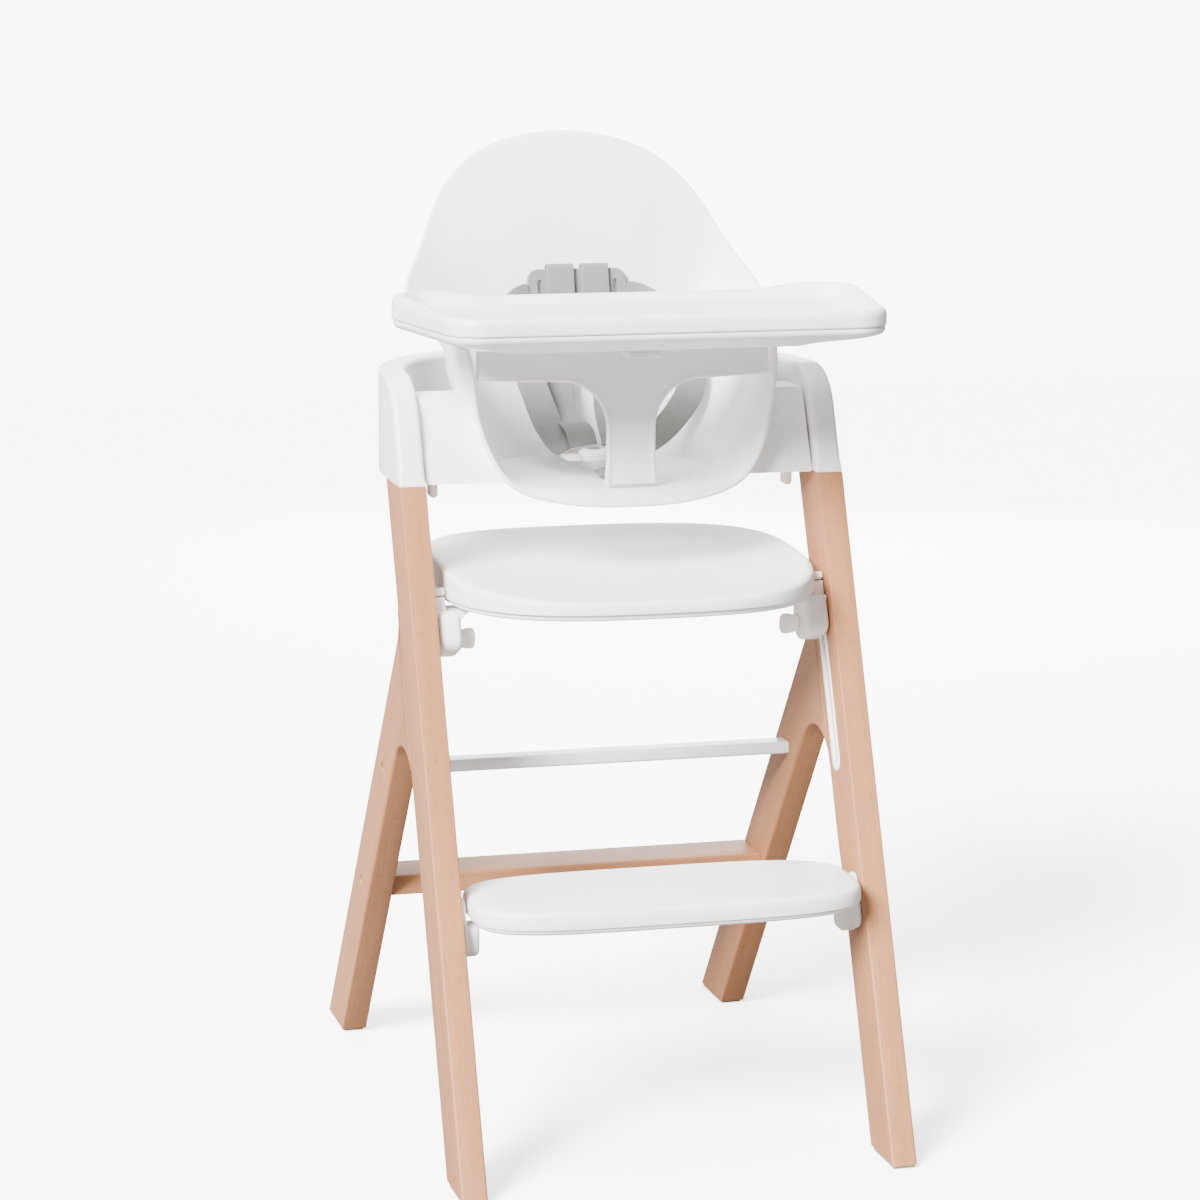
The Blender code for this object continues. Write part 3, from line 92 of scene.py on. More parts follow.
def surface(name, grid, wrap=True, lids=False, sharp=40.0):
    """A mesh through a grid of points: row i and row i + 1 are joined by quads all along.

    wrap joins the two ends of every row, and lids closes the first and last row with a face.
    """
    grid = np.asarray(grid, float)
    rows, columns = grid.shape[:2]
    index = np.arange(rows * columns).reshape(rows, columns)
    ahead = np.roll(index, -1, axis=1)
    last = columns if wrap else columns - 1
    quads = np.stack([index[:-1, :last], ahead[:-1, :last], ahead[1:, :last], index[1:, :last]], axis=-1)
    faces = quads.reshape(-1, 4).tolist()
    if lids:
        faces += [index[0, ::-1].tolist(), index[-1].tolist()]
    mesh = bpy.data.meshes.new(name)
    mesh.from_pydata(grid.reshape(-1, 3).tolist(), [], faces)
    piece = bpy.data.objects.new(name, mesh)
    bpy.context.scene.collection.objects.link(piece)
    return sound(piece, sharp)


def sound(piece, sharp=40.0):
    """Doubles merged, faces turned outwards, smooth shading with its real edges sharp."""
    build = bmesh.new()
    build.from_mesh(piece.data)
    bmesh.ops.remove_doubles(build, verts=build.verts, dist=0.000002)
    bmesh.ops.dissolve_degenerate(build, dist=0.000001, edges=build.edges)
    bmesh.ops.recalc_face_normals(build, faces=build.faces)
    if build.calc_volume(signed=True) < 0:
        bmesh.ops.reverse_faces(build, faces=build.faces)
    build.to_mesh(piece.data)
    build.free()
    piece.data.shade_smooth()
    piece.data.set_sharp_from_angle(angle=math.radians(sharp))
    return piece


def drawn_in(outline, distance):
    """The outline moved inwards: each corner goes along the mitre of its two sides' normals."""
    ahead = np.roll(outline, -1, axis=0) - outline
    normal = np.stack([ahead[:, 1], -ahead[:, 0]], axis=1)
    normal /= np.linalg.norm(normal, axis=1, keepdims=True)
    before = np.roll(normal, 1, axis=0)
    mitre = (normal + before) / (1 + (normal * before).sum(axis=1, keepdims=True))
    turned = np.sign((outline * ahead[:, ::-1] * [1, -1]).sum())
    return outline - turned * mitre * np.asarray(distance).reshape(-1, 1)


def board(name, outline, low, high, radius, axis="x", steps=5):
    """A flat board with rounded edges: its outline is drawn in by radius * (1 - sin a) at a
    height of radius * (1 - cos a) from each face, as a runs over a quarter turn."""
    outline = np.asarray(outline, float)
    radius = np.broadcast_to(radius, len(outline))
    turn = np.linspace(0, math.pi / 2, steps)
    rows = []
    for side, face in ((1, low), (-1, high)):
        for a in turn[::side]:
            flat = drawn_in(outline, radius * (1 - math.sin(a)))
            height = face + side * radius * (1 - math.cos(a))
            rows.append(np.column_stack([height, flat]))
    order = {"x": [0, 1, 2], "y": [1, 0, 2], "z": [1, 2, 0]}[axis]
    return surface(name, np.array(rows)[:, :, order], lids=True)


def carve(piece, cutters, operation="DIFFERENCE", sharp=40.0):
    """Cut holes into a piece, or join solids to it, and clear the cutters away."""
    for cutter in cutters:
        modifier = piece.modifiers.new("carve", "BOOLEAN")
        modifier.operation = operation
        modifier.object = cutter
    graph = bpy.context.evaluated_depsgraph_get()
    mesh = bpy.data.meshes.new_from_object(piece.evaluated_get(graph))
    piece.modifiers.clear()
    piece.data = mesh
    for cutter in cutters:
        bpy.data.objects.remove(cutter)
    return sound(piece, sharp)


def build_in(piece, material, body, name):
    """Give a piece its material and its body, and hide the CAD node that it stands for."""
    piece.data.materials.clear()
    piece.data.materials.append(material)
    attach(piece, body)
    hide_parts(name)


def new_group(name, inputs, outputs):
    """An empty shader node group with named inputs and outputs."""
    group = bpy.data.node_groups.new(name, "ShaderNodeTree")
    for title, kind, value in inputs:
        socket = group.interface.new_socket(title, in_out="INPUT", socket_type=kind)
        if value is not None:
            socket.default_value = value
    for title, kind in outputs:
        group.interface.new_socket(title, in_out="OUTPUT", socket_type=kind)
    return group, group.nodes.new("NodeGroupInput"), group.nodes.new("NodeGroupOutput")


def feed(tree, target, links):
    """Fill a node's inputs; links gives (input socket, value or output socket) pairs."""
    for socket, value in links:
        if isinstance(value, bpy.types.NodeSocket):
            tree.links.new(value, target.inputs[socket])
        else:
            target.inputs[socket].default_value = value
    return target


def node(tree, kind, links=(), **settings):
    """A shader node with its settings and its inputs."""
    new = tree.nodes.new("ShaderNode" + kind)
    for key, value in settings.items():
        setattr(new, key, value)
    return feed(tree, new, links)


def noise(tree, vector, scale, detail, *more):
    """Value of a noise texture; more gives further inputs."""
    given = [("Vector", vector), ("Scale", scale), ("Detail", detail), *more]
    return node(tree, "TexNoise", given).outputs["Fac"]


def stretched_noise(tree, vector, stretch, detail, *more):
    """Noise that is finer or coarser along each axis."""
    place = node(tree, "Mapping", [("Vector", vector), ("Scale", stretch)])
    return noise(tree, place.outputs[0], 1.0, detail, *more)


def mapped(tree, value, **ends):
    """A value mapped from one range to another; ends gives the limits that aren't 0 or 1."""
    limits = [(title.replace("_", " ").title(), limit) for title, limit in ends.items()]
    return node(tree, "MapRange", [("Value", value), *limits]).outputs[0]


def maths(tree, operation, *values):
    """Result of a maths node on sockets or numbers."""
    return node(tree, "Math", enumerate(values), operation=operation).outputs[0]


def blend(tree, factor, first, second):
    """One colour run into another by a factor."""
    return node(tree, "Mix", [(0, factor), (6, first), (7, second)], data_type="RGBA").outputs[2]


def object_place(tree):
    """Coordinates of the object itself, in metres."""
    return node(tree, "TexCoord").outputs["Object"]


def figured(name, group, place, given, relief, looks):
    """A material fed by a figure group.

    place makes its coordinates, given fills the group's inputs, relief is the strength and the
    distance of the bump, and looks fills further inputs of the shader.
    """
    material = bpy.data.materials.new(name)
    material.use_nodes = True
    tree = material.node_tree
    figure = node(tree, "Group", node_tree=group)
    feed(tree, figure, [("Vector", place(tree)), *given])
    bump = node(tree, "Bump", [("Height", figure.outputs["Height"]), ("Strength", relief[0]),
                               ("Distance", relief[1])])
    feed(tree, tree.nodes["Principled BSDF"],
         [("Base Color", figure.outputs["Color"]), ("Roughness", figure.outputs["Roughness"]),
          ("Normal", bump.outputs[0]), *looks])
    return material


FIGURE_OUTPUTS = [("Color", "NodeSocketColor"), ("Roughness", "NodeSocketFloat"),
                  ("Height", "NodeSocketFloat")]
BEECH_PALE, BEECH_STREAK = (0.410, 0.190, 0.089, 1), (0.340, 0.146, 0.063, 1)
BEECH_FIBRE, BEECH_FLECK = (0.262, 0.104, 0.044, 1), (0.120, 0.045, 0.020, 1)
FIBRE_DEPTH, FLECK_DEPTH = 0.30, 0.42


def beech_figure():
    """Figure of planed beech along Z: broad soft streaks, fine fibres and short dark flecks."""
    group, given, out = new_group("beech_figure", [("Vector", "NodeSocketVector", None)], FIGURE_OUTPUTS)
    vector = given.outputs["Vector"]
    streak = stretched_noise(group, vector, (46, 46, 2.4), 4.0, ("Roughness", 0.62), ("Distortion", 0.25))
    fibre = stretched_noise(group, vector, (900, 900, 26), 3.0)
    fleck = stretched_noise(group, vector, (820, 820, 150), 1.0)
    spots = mapped(group, fleck, from_min=0.645, from_max=0.74)
    tone = blend(group, mapped(group, streak, from_min=0.30, from_max=0.70), BEECH_PALE, BEECH_STREAK)
    grain = mapped(group, fibre, from_min=0.35, from_max=0.75, to_max=FIBRE_DEPTH)
    fibres = blend(group, grain, tone, BEECH_FIBRE)
    colour = blend(group, maths(group, "MULTIPLY", spots, FLECK_DEPTH), fibres, BEECH_FLECK)
    feed(group, out, [("Color", colour), ("Roughness", mapped(group, fibre, to_min=0.46, to_max=0.60)),
                      ("Height", maths(group, "SUBTRACT", fibre, spots))])
    return group


BEECH_FIGURE = beech_figure()


def beech(name, turn, shift):
    """Beech whose grain runs along Z after the timber is turned upright; shift picks the board."""
    def upright(tree):
        place = [("Vector", object_place(tree)), ("Rotation", turn), ("Location", shift)]
        return node(tree, "Mapping", place).outputs[0]

    lacquer = [("Coat Weight", 0.04), ("Coat Roughness", 0.45), ("Specular IOR Level", 0.30)]
    return figured(name, BEECH_FIGURE, upright, [], (0.25, 0.0001), lacquer)


RAIL_HALF, RAIL_DEEP, RAIL_PROUD = 0.01065, 0.0080, 0.0008
RAIL_LOW, RAIL_HIGH, RAIL_BEHIND = 0.3390, 0.5160, 0.0400


def slot_outline(half, count=13):
    """A slot with round ends, parallel to the leg, centred on the rail's line: (y, z)."""
    along = np.array([LEG_LEAN, 1.0]) / math.hypot(LEG_LEAN, 1.0)
    aside = np.array([along[1], -along[0]])
    ends = []
    for z, start in ((RAIL_HIGH - RAIL_HALF, 0), (RAIL_LOW + RAIL_HALF, 180)):
        turn = np.radians(np.linspace(start, start + 180, count))[:, None]
        ends.append(np.array([leg_face(z) + RAIL_BEHIND, z])
                    + half * (np.cos(turn) * aside + np.sin(turn) * along))
    return np.concatenate(ends)


lean_angle = math.atan(LEG_LEAN)
for side, s in SIDES:
    top = CAP_Z - 0.0003
    heights = np.array([FOOT_Z, 0.250, 0.275, 0.480, 0.505, top])
    rear_edge = np.stack([leg_face(heights) + LEG_DEPTH, heights], axis=1)
    front_edge = np.array([[leg_face(top), top], [leg_face(FOOT_Z), FOOT_Z]])
    edge_radius = [ROUND_OVER, ROUND_OVER, GLUED_EDGE, GLUED_EDGE, ROUND_OVER, 0.0006, 0.0006, ROUND_OVER]
    leg = board(f"front_leg_{side}_timber", np.concatenate([rear_edge, front_edge]),
                *sorted((s * INNER_X, s * OUTER_X)), edge_radius)
    pocket = board("pocket", slot_outline(RAIL_HALF + 0.0002),
                   *sorted((s * (INNER_X - 0.002), s * (INNER_X + RAIL_DEEP - RAIL_PROUD + 0.0002))), 0.0)
    carve(leg, [pocket])
    timber = beech(f"beech_front_{side}", (lean_angle, 0, 0), (0.31 * s, 0.17, 0.4 * s))
    build_in(leg, timber, "frame", f"front_leg_{side}")


# ---------------------------------------------------------------- rear legs
# Beech timbers glued to the back of the front legs. The upper end widens into
# an arched web; two bolt heads sit in counterbores on the outer face.
REAR_FACE_Y, REAR_DEPTH, REAR_LEAN = 0.3105, 0.0726, 0.748
ARCH_Y, ARCH_Z, ARCH_R, NOTCH_R = -0.063, 0.319, 0.050, 0.040
METAL_BAR, WOOD_BAR = (0.0290, 0.3290), (0.1350, 0.1890)


def rod(name, start, end, radius, sides=32):
    """A round rod: a circle carried from one point to the other."""
    start, end = np.asarray(start, float), np.asarray(end, float)
    ahead = (end - start) / np.linalg.norm(end - start)
    aside = np.cross(ahead, [0.0, 0.6, 0.8])
    aside /= np.linalg.norm(aside)
    over = np.cross(ahead, aside)
    turn = np.linspace(0, 2 * math.pi, sides, endpoint=False)[:, None]
    circle = radius * (np.cos(turn) * aside + np.sin(turn) * over)
    return surface(name, np.array([start + circle, end + circle]), lids=True)


def rear_outline():
    """Outline of a rear leg: foot, rear face, hollow notch, glue line, and arch."""
    glue_y = LEG_FACE_Y + LEG_DEPTH + 0.0002
    rear_angle, front_angle = math.atan(REAR_LEAN), math.atan(LEG_LEAN)
    crossing = (REAR_FACE_Y - glue_y) / (REAR_LEAN + LEG_LEAN)
    half = (rear_angle + front_angle) / 2
    tilt = (rear_angle - front_angle) / 2
    notch = (REAR_FACE_Y - REAR_LEAN * crossing + math.cos(tilt) * NOTCH_R / math.cos(half),
             crossing + math.sin(tilt) * NOTCH_R / math.cos(half))
    hollow = arc(notch, NOTCH_R, 180 + math.degrees(rear_angle), 180 - math.degrees(front_angle), 25)
    hollow = hollow[hollow[:, 0] - glue_y - LEG_LEAN * hollow[:, 1] > 0.0006]
    arch = arc((ARCH_Y, ARCH_Z), ARCH_R, 180 - math.degrees(front_angle), math.degrees(rear_angle), 41)
    arch[:, 0] = np.maximum(arch[:, 0], glue_y + LEG_LEAN * arch[:, 1])
    foot = np.array([[REAR_FACE_Y - REAR_LEAN * FOOT_Z - REAR_DEPTH, FOOT_Z],
                     [REAR_FACE_Y - REAR_LEAN * FOOT_Z, FOOT_Z]])
    tip = np.array([[glue_y + LEG_LEAN * hollow[-1, 1], hollow[-1, 1]]])
    outline = np.concatenate([foot, hollow, tip, arch])
    radius = np.full(len(outline), ROUND_OVER)
    radius[:2] = 0.0010
    glued = np.abs(outline[:, 0] - glue_y - LEG_LEAN * outline[:, 1]) < 0.0012
    radius[glued] = GLUED_EDGE
    return outline, radius


for side, s in SIDES:
    outline, edge_radius = rear_outline()
    leg = board(f"rear_leg_{side}_timber", outline, *sorted((s * INNER_X, s * OUTER_X)), edge_radius)
    sinks = [rod("sink", (s * (OUTER_X - 0.0065), y, z), (s * (OUTER_X + 0.001), y, z), 0.0056)
             for y, z in (METAL_BAR, WOOD_BAR)]
    carve(leg, sinks)
    timber = beech(f"beech_rear_{side}", (-math.atan(REAR_LEAN), 0, 0), (0.55 * s, -0.23, 0.9 * s))
    build_in(leg, timber, "frame", f"rear_leg_{side}")


# ---------------------------------------------------------------- foot glides
# Thin pads of hard matt plastic, pressed into the ends of the four feet.
def moulded_grain():
    """Fine spark-eroded texture of moulded plastic: a pebbled height and a slow drift in gloss."""
    pale = (0.8, 0.8, 0.8, 1.0)
    group, given, out = new_group(
        "moulded_grain",
        [("Vector", "NodeSocketVector", None), ("Gloss", "NodeSocketFloat", 0.40),
         ("Shade", "NodeSocketColor", pale), ("Worn Shade", "NodeSocketColor", pale)],
        FIGURE_OUTPUTS)
    vector, gloss = given.outputs["Vector"], given.outputs["Gloss"]
    shade, worn = given.outputs["Shade"], given.outputs["Worn Shade"]
    drift = noise(group, vector, 9.0, 3.0)
    swing = mapped(group, drift, from_min=0.3, from_max=0.7, to_min=-0.05, to_max=0.05)
    feed(group, out, [("Color", blend(group, drift, shade, worn)),
                      ("Roughness", maths(group, "ADD", gloss, swing)),
                      ("Height", noise(group, vector, 1400.0, 2.0))])
    return group


MOULDED_GRAIN = moulded_grain()


def moulded(name, shade, worn, gloss, grain=0.12, coat=0.0, metallic=0.0):
    """A moulded or coated finish: its shade drifts towards the worn shade, over a fine grain."""
    given = [("Gloss", gloss), ("Shade", (*shade, 1.0)), ("Worn Shade", (*worn, 1.0))]
    return figured(name, MOULDED_GRAIN, object_place, given, (grain, 0.00008),
                   [("Coat Weight", coat), ("Metallic", metallic)])


def coat_nodes(names, material):
    """Give nodes that keep their shape their material."""
    for name in names:
        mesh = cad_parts[name].data
        mesh.materials.clear()
        mesh.materials.append(material)


glide_plastic = moulded("glide_plastic", (0.42, 0.37, 0.32), (0.34, 0.29, 0.25), 0.62, 0.3)
coat_nodes([f"glide_{end}_{side}" for end in ("front", "rear") for side in ("left", "right")], glide_plastic)


# ---------------------------------------------------------------- height rails
# White moulded strips let into the front legs. A wide head groove lies behind
# the narrow slot, so that the flat head of the clamp stud is caught in it.
white_plastic = moulded("white_plastic", (0.915, 0.892, 0.880), (0.900, 0.877, 0.863), 0.40)


def white(piece, body, name):
    """Build in a white moulding."""
    build_in(piece, white_plastic, body, name)


for side, s in SIDES:
    face, rear = INNER_X - RAIL_PROUD, INNER_X + RAIL_DEEP - RAIL_PROUD
    profile = [(RAIL_HALF, rear), (RAIL_HALF, face + 0.0012), (RAIL_HALF - 0.0003, face + 0.0005),
               (RAIL_HALF - 0.0008, face + 0.0001), (RAIL_HALF - 0.0014, face), (0.0050, face),
               (0.0044, face + 0.0002), (0.0041, face + 0.0006), (0.0040, face + 0.0012),
               (0.0040, face + 0.0025), (0.0070, face + 0.0026), (0.0070, rear - 0.0015)]
    rows = [np.column_stack([np.full(26, s * x), slot_outline(half)]) for half, x in profile]
    rail = surface(f"height_rail_{side}_strip", rows, lids=True)
    white(rail, "frame", f"height_rail_{side}")


# ---------------------------------------------------------------- crossbars
# A powder-coated flat steel tube and a beech board between the rear legs, each
# pulled tight by a bolt at both ends: into threaded plugs, and into barrel nuts.
white_paint = moulded("white_paint", (0.86, 0.865, 0.87), (0.84, 0.845, 0.85), 0.28, 0.05, 0.2)
zinc = moulded("zinc_plate", (0.62, 0.62, 0.60), (0.50, 0.50, 0.49), 0.32, 0.10, 0.0, 1.0)


def rounded_bar(middle, size, radius, count=7):
    """Outline of a rectangle with round corners."""
    reach = np.array(size) / 2 - radius
    corners = [arc((middle[0] + a * reach[0], middle[1] + b * reach[1]), radius, start, start + 90, count)
               for start, a, b in ((0, 1, 1), (90, -1, 1), (180, -1, -1), (270, 1, -1))]
    return np.concatenate(corners)


bar_end = INNER_X - 0.0003
flat_tube = rounded_bar(METAL_BAR, (0.0240, 0.0122), 0.0030)
tube = board("metal_crossbar_tube", flat_tube, -bar_end, bar_end, 0.0003)
build_in(tube, white_paint, "frame", "metal_crossbar")
flat_board = rounded_bar(WOOD_BAR, (0.0600, 0.0200), 0.0025)
plank = board("wood_crossbar_plank", flat_board, -bar_end, bar_end, 0.0003)
nut_x, (nut_y, nut_z) = INNER_X - 0.0190, WOOD_BAR
carve(plank, [rod("nut_hole", (s * nut_x, nut_y, nut_z - 0.012), (s * nut_x, nut_y, nut_z + 0.0055), 0.0053)
              for side, s in SIDES])
timber = beech("beech_crossbar", (0, math.pi / 2, 0), (0.2, 0.7, 0.1))
build_in(plank, timber, "frame", "wood_crossbar")
paired = ("metal_bar_bolt", "wood_bar_bolt", "crossbar_plug", "barrel_nut", "band_bolt", "footplate_screw",
          "clamp_stud", "lever_pin")
coat_nodes([f"{part}_{side}" for part in paired for side, s in SIDES] + ["tray_release_pin"], zinc)


# ---------------------------------------------------------------- backrest band
# One thick white moulding in a U. It sits on the tenons of the front legs, its
# ends lean with the legs and bend back into a level top edge with soft corners.
BAND_TOP, BAND_BACK_Y, BAND_BEND_Y = 0.7150, 0.2080, -0.0060
NOSE_RADIUS, BAND_ROUND = 0.060, 0.0050


def band_edge(y):
    """Height of the band's top edge and its outward normal (y, z): up the leaning front edge of
    the leg, round a quarter-circle, then level."""
    bend_z = BAND_TOP - NOSE_RADIUS * (1 - math.sin(lean_angle))
    centre_y = leg_face(bend_z) + NOSE_RADIUS * math.cos(lean_angle)
    across = np.clip((centre_y - y) / NOSE_RADIUS, 0, math.cos(lean_angle))
    on_bend = BAND_TOP - NOSE_RADIUS * (1 - np.sqrt(1 - across ** 2))
    height = np.where(y < leg_face(bend_z), (y - LEG_FACE_Y) / LEG_LEAN, on_bend)
    return height, np.stack([-across, np.sqrt(1 - across ** 2)], axis=-1), centre_y


def band():
    """Upright sections along a U: straight sides to the bend line, then a flattened half-oval.

    Each section goes up the outer face, round the top edge and down the inner face. Both edges are
    quarter-rounds: sideways by radius * (1 - cos), down along the edge's normal by radius * (1 - sin).
    """
    first_y = leg_face(CAP_Z + 0.0012)
    reach = BAND_BACK_Y - BAND_BEND_Y
    centre_y = band_edge(np.zeros(1))[2]
    side_y = np.concatenate([np.linspace(first_y, -0.040, 9), np.linspace(-0.0375, BAND_BEND_Y, 15)])
    bend_y = np.linspace(BAND_BEND_Y, centre_y, 9)[1:]
    start = np.arcsin(((bend_y - BAND_BEND_Y) / reach) ** (1 / 0.80))
    turn = np.concatenate([start, np.linspace(start[-1], math.pi / 2, 52)[1:]])
    turn = np.concatenate([turn, math.pi - turn[-2::-1]])
    bow = np.stack([-np.cos(turn), np.sin(turn)], axis=1)
    bow = np.sign(bow) * np.abs(bow) ** 0.80

    def plan(inset):
        side = np.stack([np.full(len(side_y), -(OUTER_X - inset)), side_y], axis=1)
        hoop = bow * [OUTER_X - inset, reach - inset] + [0.0, BAND_BEND_Y]
        return np.concatenate([side, hoop, side[::-1] * [-1, 1]])

    outer, inner = plan(0.0), plan(TIMBER)
    height, normal, _ = band_edge(outer[:, 1])
    radius = np.minimum(BAND_ROUND, 0.40 * (height - CAP_Z))[:, None]
    quarter = np.linspace(0, math.pi / 2, 9)[None, :]
    sideways = radius * (1 - np.cos(quarter)) / TIMBER
    depth = radius * (1 - np.sin(quarter))
    none, all_of_it = np.zeros_like(radius), np.ones_like(radius)
    share = np.concatenate([none, sideways, 1 - sideways[:, ::-1], all_of_it], axis=1)
    depth = np.concatenate([depth, depth[:, ::-1]], axis=1)
    drop = height[:, None] - normal[:, 1:] * depth
    foot = np.full_like(radius, CAP_Z)
    z = np.concatenate([foot, drop, foot], axis=1)
    back = np.concatenate([none, -normal[:, :1] * depth, none], axis=1)
    flat = outer[:, None, :] * (1 - share[..., None]) + inner[:, None, :] * share[..., None]
    grid = np.dstack([flat[..., 0], flat[..., 1] + back, z])
    return surface("backrest_band_hoop", grid, lids=True, sharp=50)


white(band(), "frame", "backrest_band")


# ---------------------------------------------------------------- footplate
# A softly crowned white cover clipped over a base whose lip shows below it.
# Two brackets, screwed to the inner faces of the front legs, carry it.
FOOT_Y, FOOT_HALF_W, FOOT_HALF_D = -0.1990, 0.1860, 0.0735
FOOT_LOW, FOOT_SPLIT, FOOT_HIGH, FOOT_OVAL = 0.2337, 0.2392, 0.2574, 3.8


def oval(half_w, half_d, middle_y, power, count=160):
    """A superellipse: x = w * cos^(2/p), y = d * sin^(2/p), each with its own sign."""
    turn = np.linspace(0, 2 * math.pi, count, endpoint=False)
    bow = np.stack([np.cos(turn), np.sin(turn)], axis=1)
    return np.sign(bow) * np.abs(bow) ** (2 / power) * [half_w, half_d] + [0.0, middle_y]


def catmull_rom(f, a, b, c, d):
    """The point a fraction f of the way from b to c, on the cubic that also heeds a and d."""
    return 0.5 * (2 * b + (c - a) * f + (2 * a - 5 * b + 4 * c - d) * f ** 2
                  + (3 * b - a - 3 * c + d) * f ** 3)


def eased(points, count):
    """A smooth run of values through given ones: a Catmull-Rom spline, taken column by column."""
    points = np.asarray(points, float)
    padded = np.concatenate([2 * points[:1] - points[1:2], points, 2 * points[-1:] - points[-2:-1]])
    place = np.linspace(0, len(points) - 1, count)
    i = np.minimum(place.astype(int), len(points) - 2)
    f = (place - i).reshape((-1,) + (1,) * (points.ndim - 1))
    return catmull_rom(f, padded[i], padded[i + 1], padded[i + 2], padded[i + 3])


def moulded_plate(name, outline, profile, lift, sharp=40):
    """A plate through rings: each (inset, height, share) draws the outline in and adds that share
    of the lift."""
    rings = []
    for inset, height, share in profile:
        flat = outline(inset)
        rings.append(np.column_stack([flat, height + share * lift(flat)]))
    return surface(name, rings, lids=True, sharp=sharp)


def rows_at(base, *rows):
    """Profile rows (inset, height, share) from rows of inset, rise above the base, and share or 0."""
    return [(inset, base + rise, *(share or [0])) for inset, rise, *share in rows]


def level(flat):
    return np.zeros(len(flat))


def foot_plan(inset):
    return oval(FOOT_HALF_W - inset, FOOT_HALF_D - inset, FOOT_Y, FOOT_OVAL)


crown = eased(rows_at(FOOT_HIGH, (0.0002, -0.0080), (0.0006, -0.0052), (0.0017, -0.0027), (0.0040, -0.0010),
                      (0.0080, -0.0003), (0.0200, 0), (0.0400, 0)), 26)
lip = rows_at(FOOT_SPLIT, (0.0040, 0.0003), (0.0012, 0.0003), (0.0004, 0.0008), (0.0001, 0.0018))
cover = moulded_plate("footplate_cover_shell", foot_plan, [*lip, *crown], level)
white(cover, "frame", "footplate_cover")
profile = [*rows_at(FOOT_LOW, (0.0120, 0), (0.0065, 0.0003), (0.0040, 0.0014), (0.0026, 0.0032)),
           *rows_at(FOOT_SPLIT, (0.0022, -0.0006), (0.0030, 0))]
base = moulded_plate("footplate_base_shell", foot_plan, profile, level)
white(base, "frame", "footplate_base")


def leaning_tab(name, s, x_low, x_high, middle, half_y, z_low, z_high, corner, radius, lean=lean_angle):
    """A flat tab along the leg: a rounded rectangle in (y, z), leaned about its middle."""
    flat = rounded_bar((0.0, 0.0), (2 * half_y, z_high - z_low), corner)
    turn = np.array([[math.cos(lean), math.sin(lean)], [-math.sin(lean), math.cos(lean)]])
    flat = flat @ turn.T + [middle, (z_low + z_high) / 2]
    return board(name, flat, *sorted((s * x_low, s * x_high)), radius)


for side, s in SIDES:
    middle_z = 0.2295
    middle_y = leg_face(middle_z) + LEG_DEPTH / 2 + 0.002
    tab = leaning_tab("tab", s, FOOT_HALF_W + 0.0020, INNER_X - 0.0003, middle_y - 0.0020, 0.0215,
                      0.1992, 0.2520, 0.0100, 0.0016)
    boss_y = leg_face(FOOT_LOW) + LEG_DEPTH / 2 - 0.006
    boss = board("boss", rounded_bar((boss_y, 0.2155), (0.0280, 0.0308), 0.0085),
                 *sorted((s * 0.1752, s * (INNER_X - 0.0012))), 0.0040)
    tab.name = f"footplate_bracket_{side}_moulding"
    carve(tab, [boss], "UNION", 50)
    screw_z = 0.2120
    screw_y = leg_face(screw_z) + LEG_DEPTH / 2 + 0.020
    carve(tab, [rod("screw_hole", (s * 0.170, screw_y, screw_z), (s * 0.200, screw_y, screw_z), 0.0023)],
          sharp=50)
    white(tab, "frame", f"footplate_bracket_{side}")


# ---------------------------------------------------------------- seat plate
# A dished white upper shell over a pan; its rear edge rises. It hangs on two
# clamps whose studs run in the rails, each locked by a paddle knob inside.
SEAT_Y, SEAT_HALF_W, SEAT_HALF_D = -0.0340, 0.1800, 0.1630
SEAT_LOW, SEAT_SPLIT, SEAT_HIGH, SEAT_OVAL = 0.5070, 0.5130, 0.5250, 2.9
SEAT_CLIMB, SEAT_LEVELLING = 0.0472, 0.0287
CLAMP_X, CLAMP_Z, CLAMP_REACH = 0.1680, 0.4745, 0.0180
CLAMP_OUTER = INNER_X - RAIL_PROUD - 0.0003
STUD_Y = leg_face(CLAMP_Z) + RAIL_BEHIND
CLAMP_Y = STUD_Y - 0.006
ARM_X, ARM_HALF, GUSSET_LOW, GUSSET_HIGH = SEAT_HALF_W + 0.0002, 0.0170, 0.4850, 0.5036


def seat_plan(inset):
    return oval(SEAT_HALF_W - inset, SEAT_HALF_D - inset, SEAT_Y, SEAT_OVAL)


def seat_lift(flat):
    """The rim climbs from the front and levels out towards the back: climb * t - levelling * t^2."""
    share = (flat[:, 1] - SEAT_Y + SEAT_HALF_D) / (2 * SEAT_HALF_D)
    return SEAT_CLIMB * share - SEAT_LEVELLING * share ** 2


crown = eased(rows_at(SEAT_HIGH, (0.0002, -0.0050, 1.0), (0.0008, -0.0027, 1.0), (0.0026, -0.0009, 1.0),
                      (0.0060, -0.0001, 1.0), (0.0120, -0.0005, 0.99), (0.0240, -0.0018, 0.96),
                      (0.0480, -0.0044, 0.89), (0.0800, -0.0060, 0.80), (0.1150, -0.0066, 0.73)), 44)
profile = [*rows_at(SEAT_SPLIT, (0.0045, 0.0003), (0.0012, 0.0003), (0.0003, 0.0009), (0.0, 0.0020, 0.05)),
           *rows_at(SEAT_HIGH, (0.0, -0.0066, 0.94)), *crown]
top_shell = moulded_plate("seat_top_shell", seat_plan, profile, seat_lift)
white(top_shell, "seat_plate", "seat_top")
profile = [*rows_at(SEAT_LOW, (0.0600, -0.0030), (0.0300, -0.0012), (0.0120, 0), (0.0060, 0.0006),
                    (0.0036, 0.0022)),
           *rows_at(SEAT_SPLIT, (0.0030, -0.0008), (0.0038, 0), (0.0600, 0))]
pan = moulded_plate("seat_pan_shell", seat_plan, profile, seat_lift)
white(pan, "seat_plate", "seat_pan")


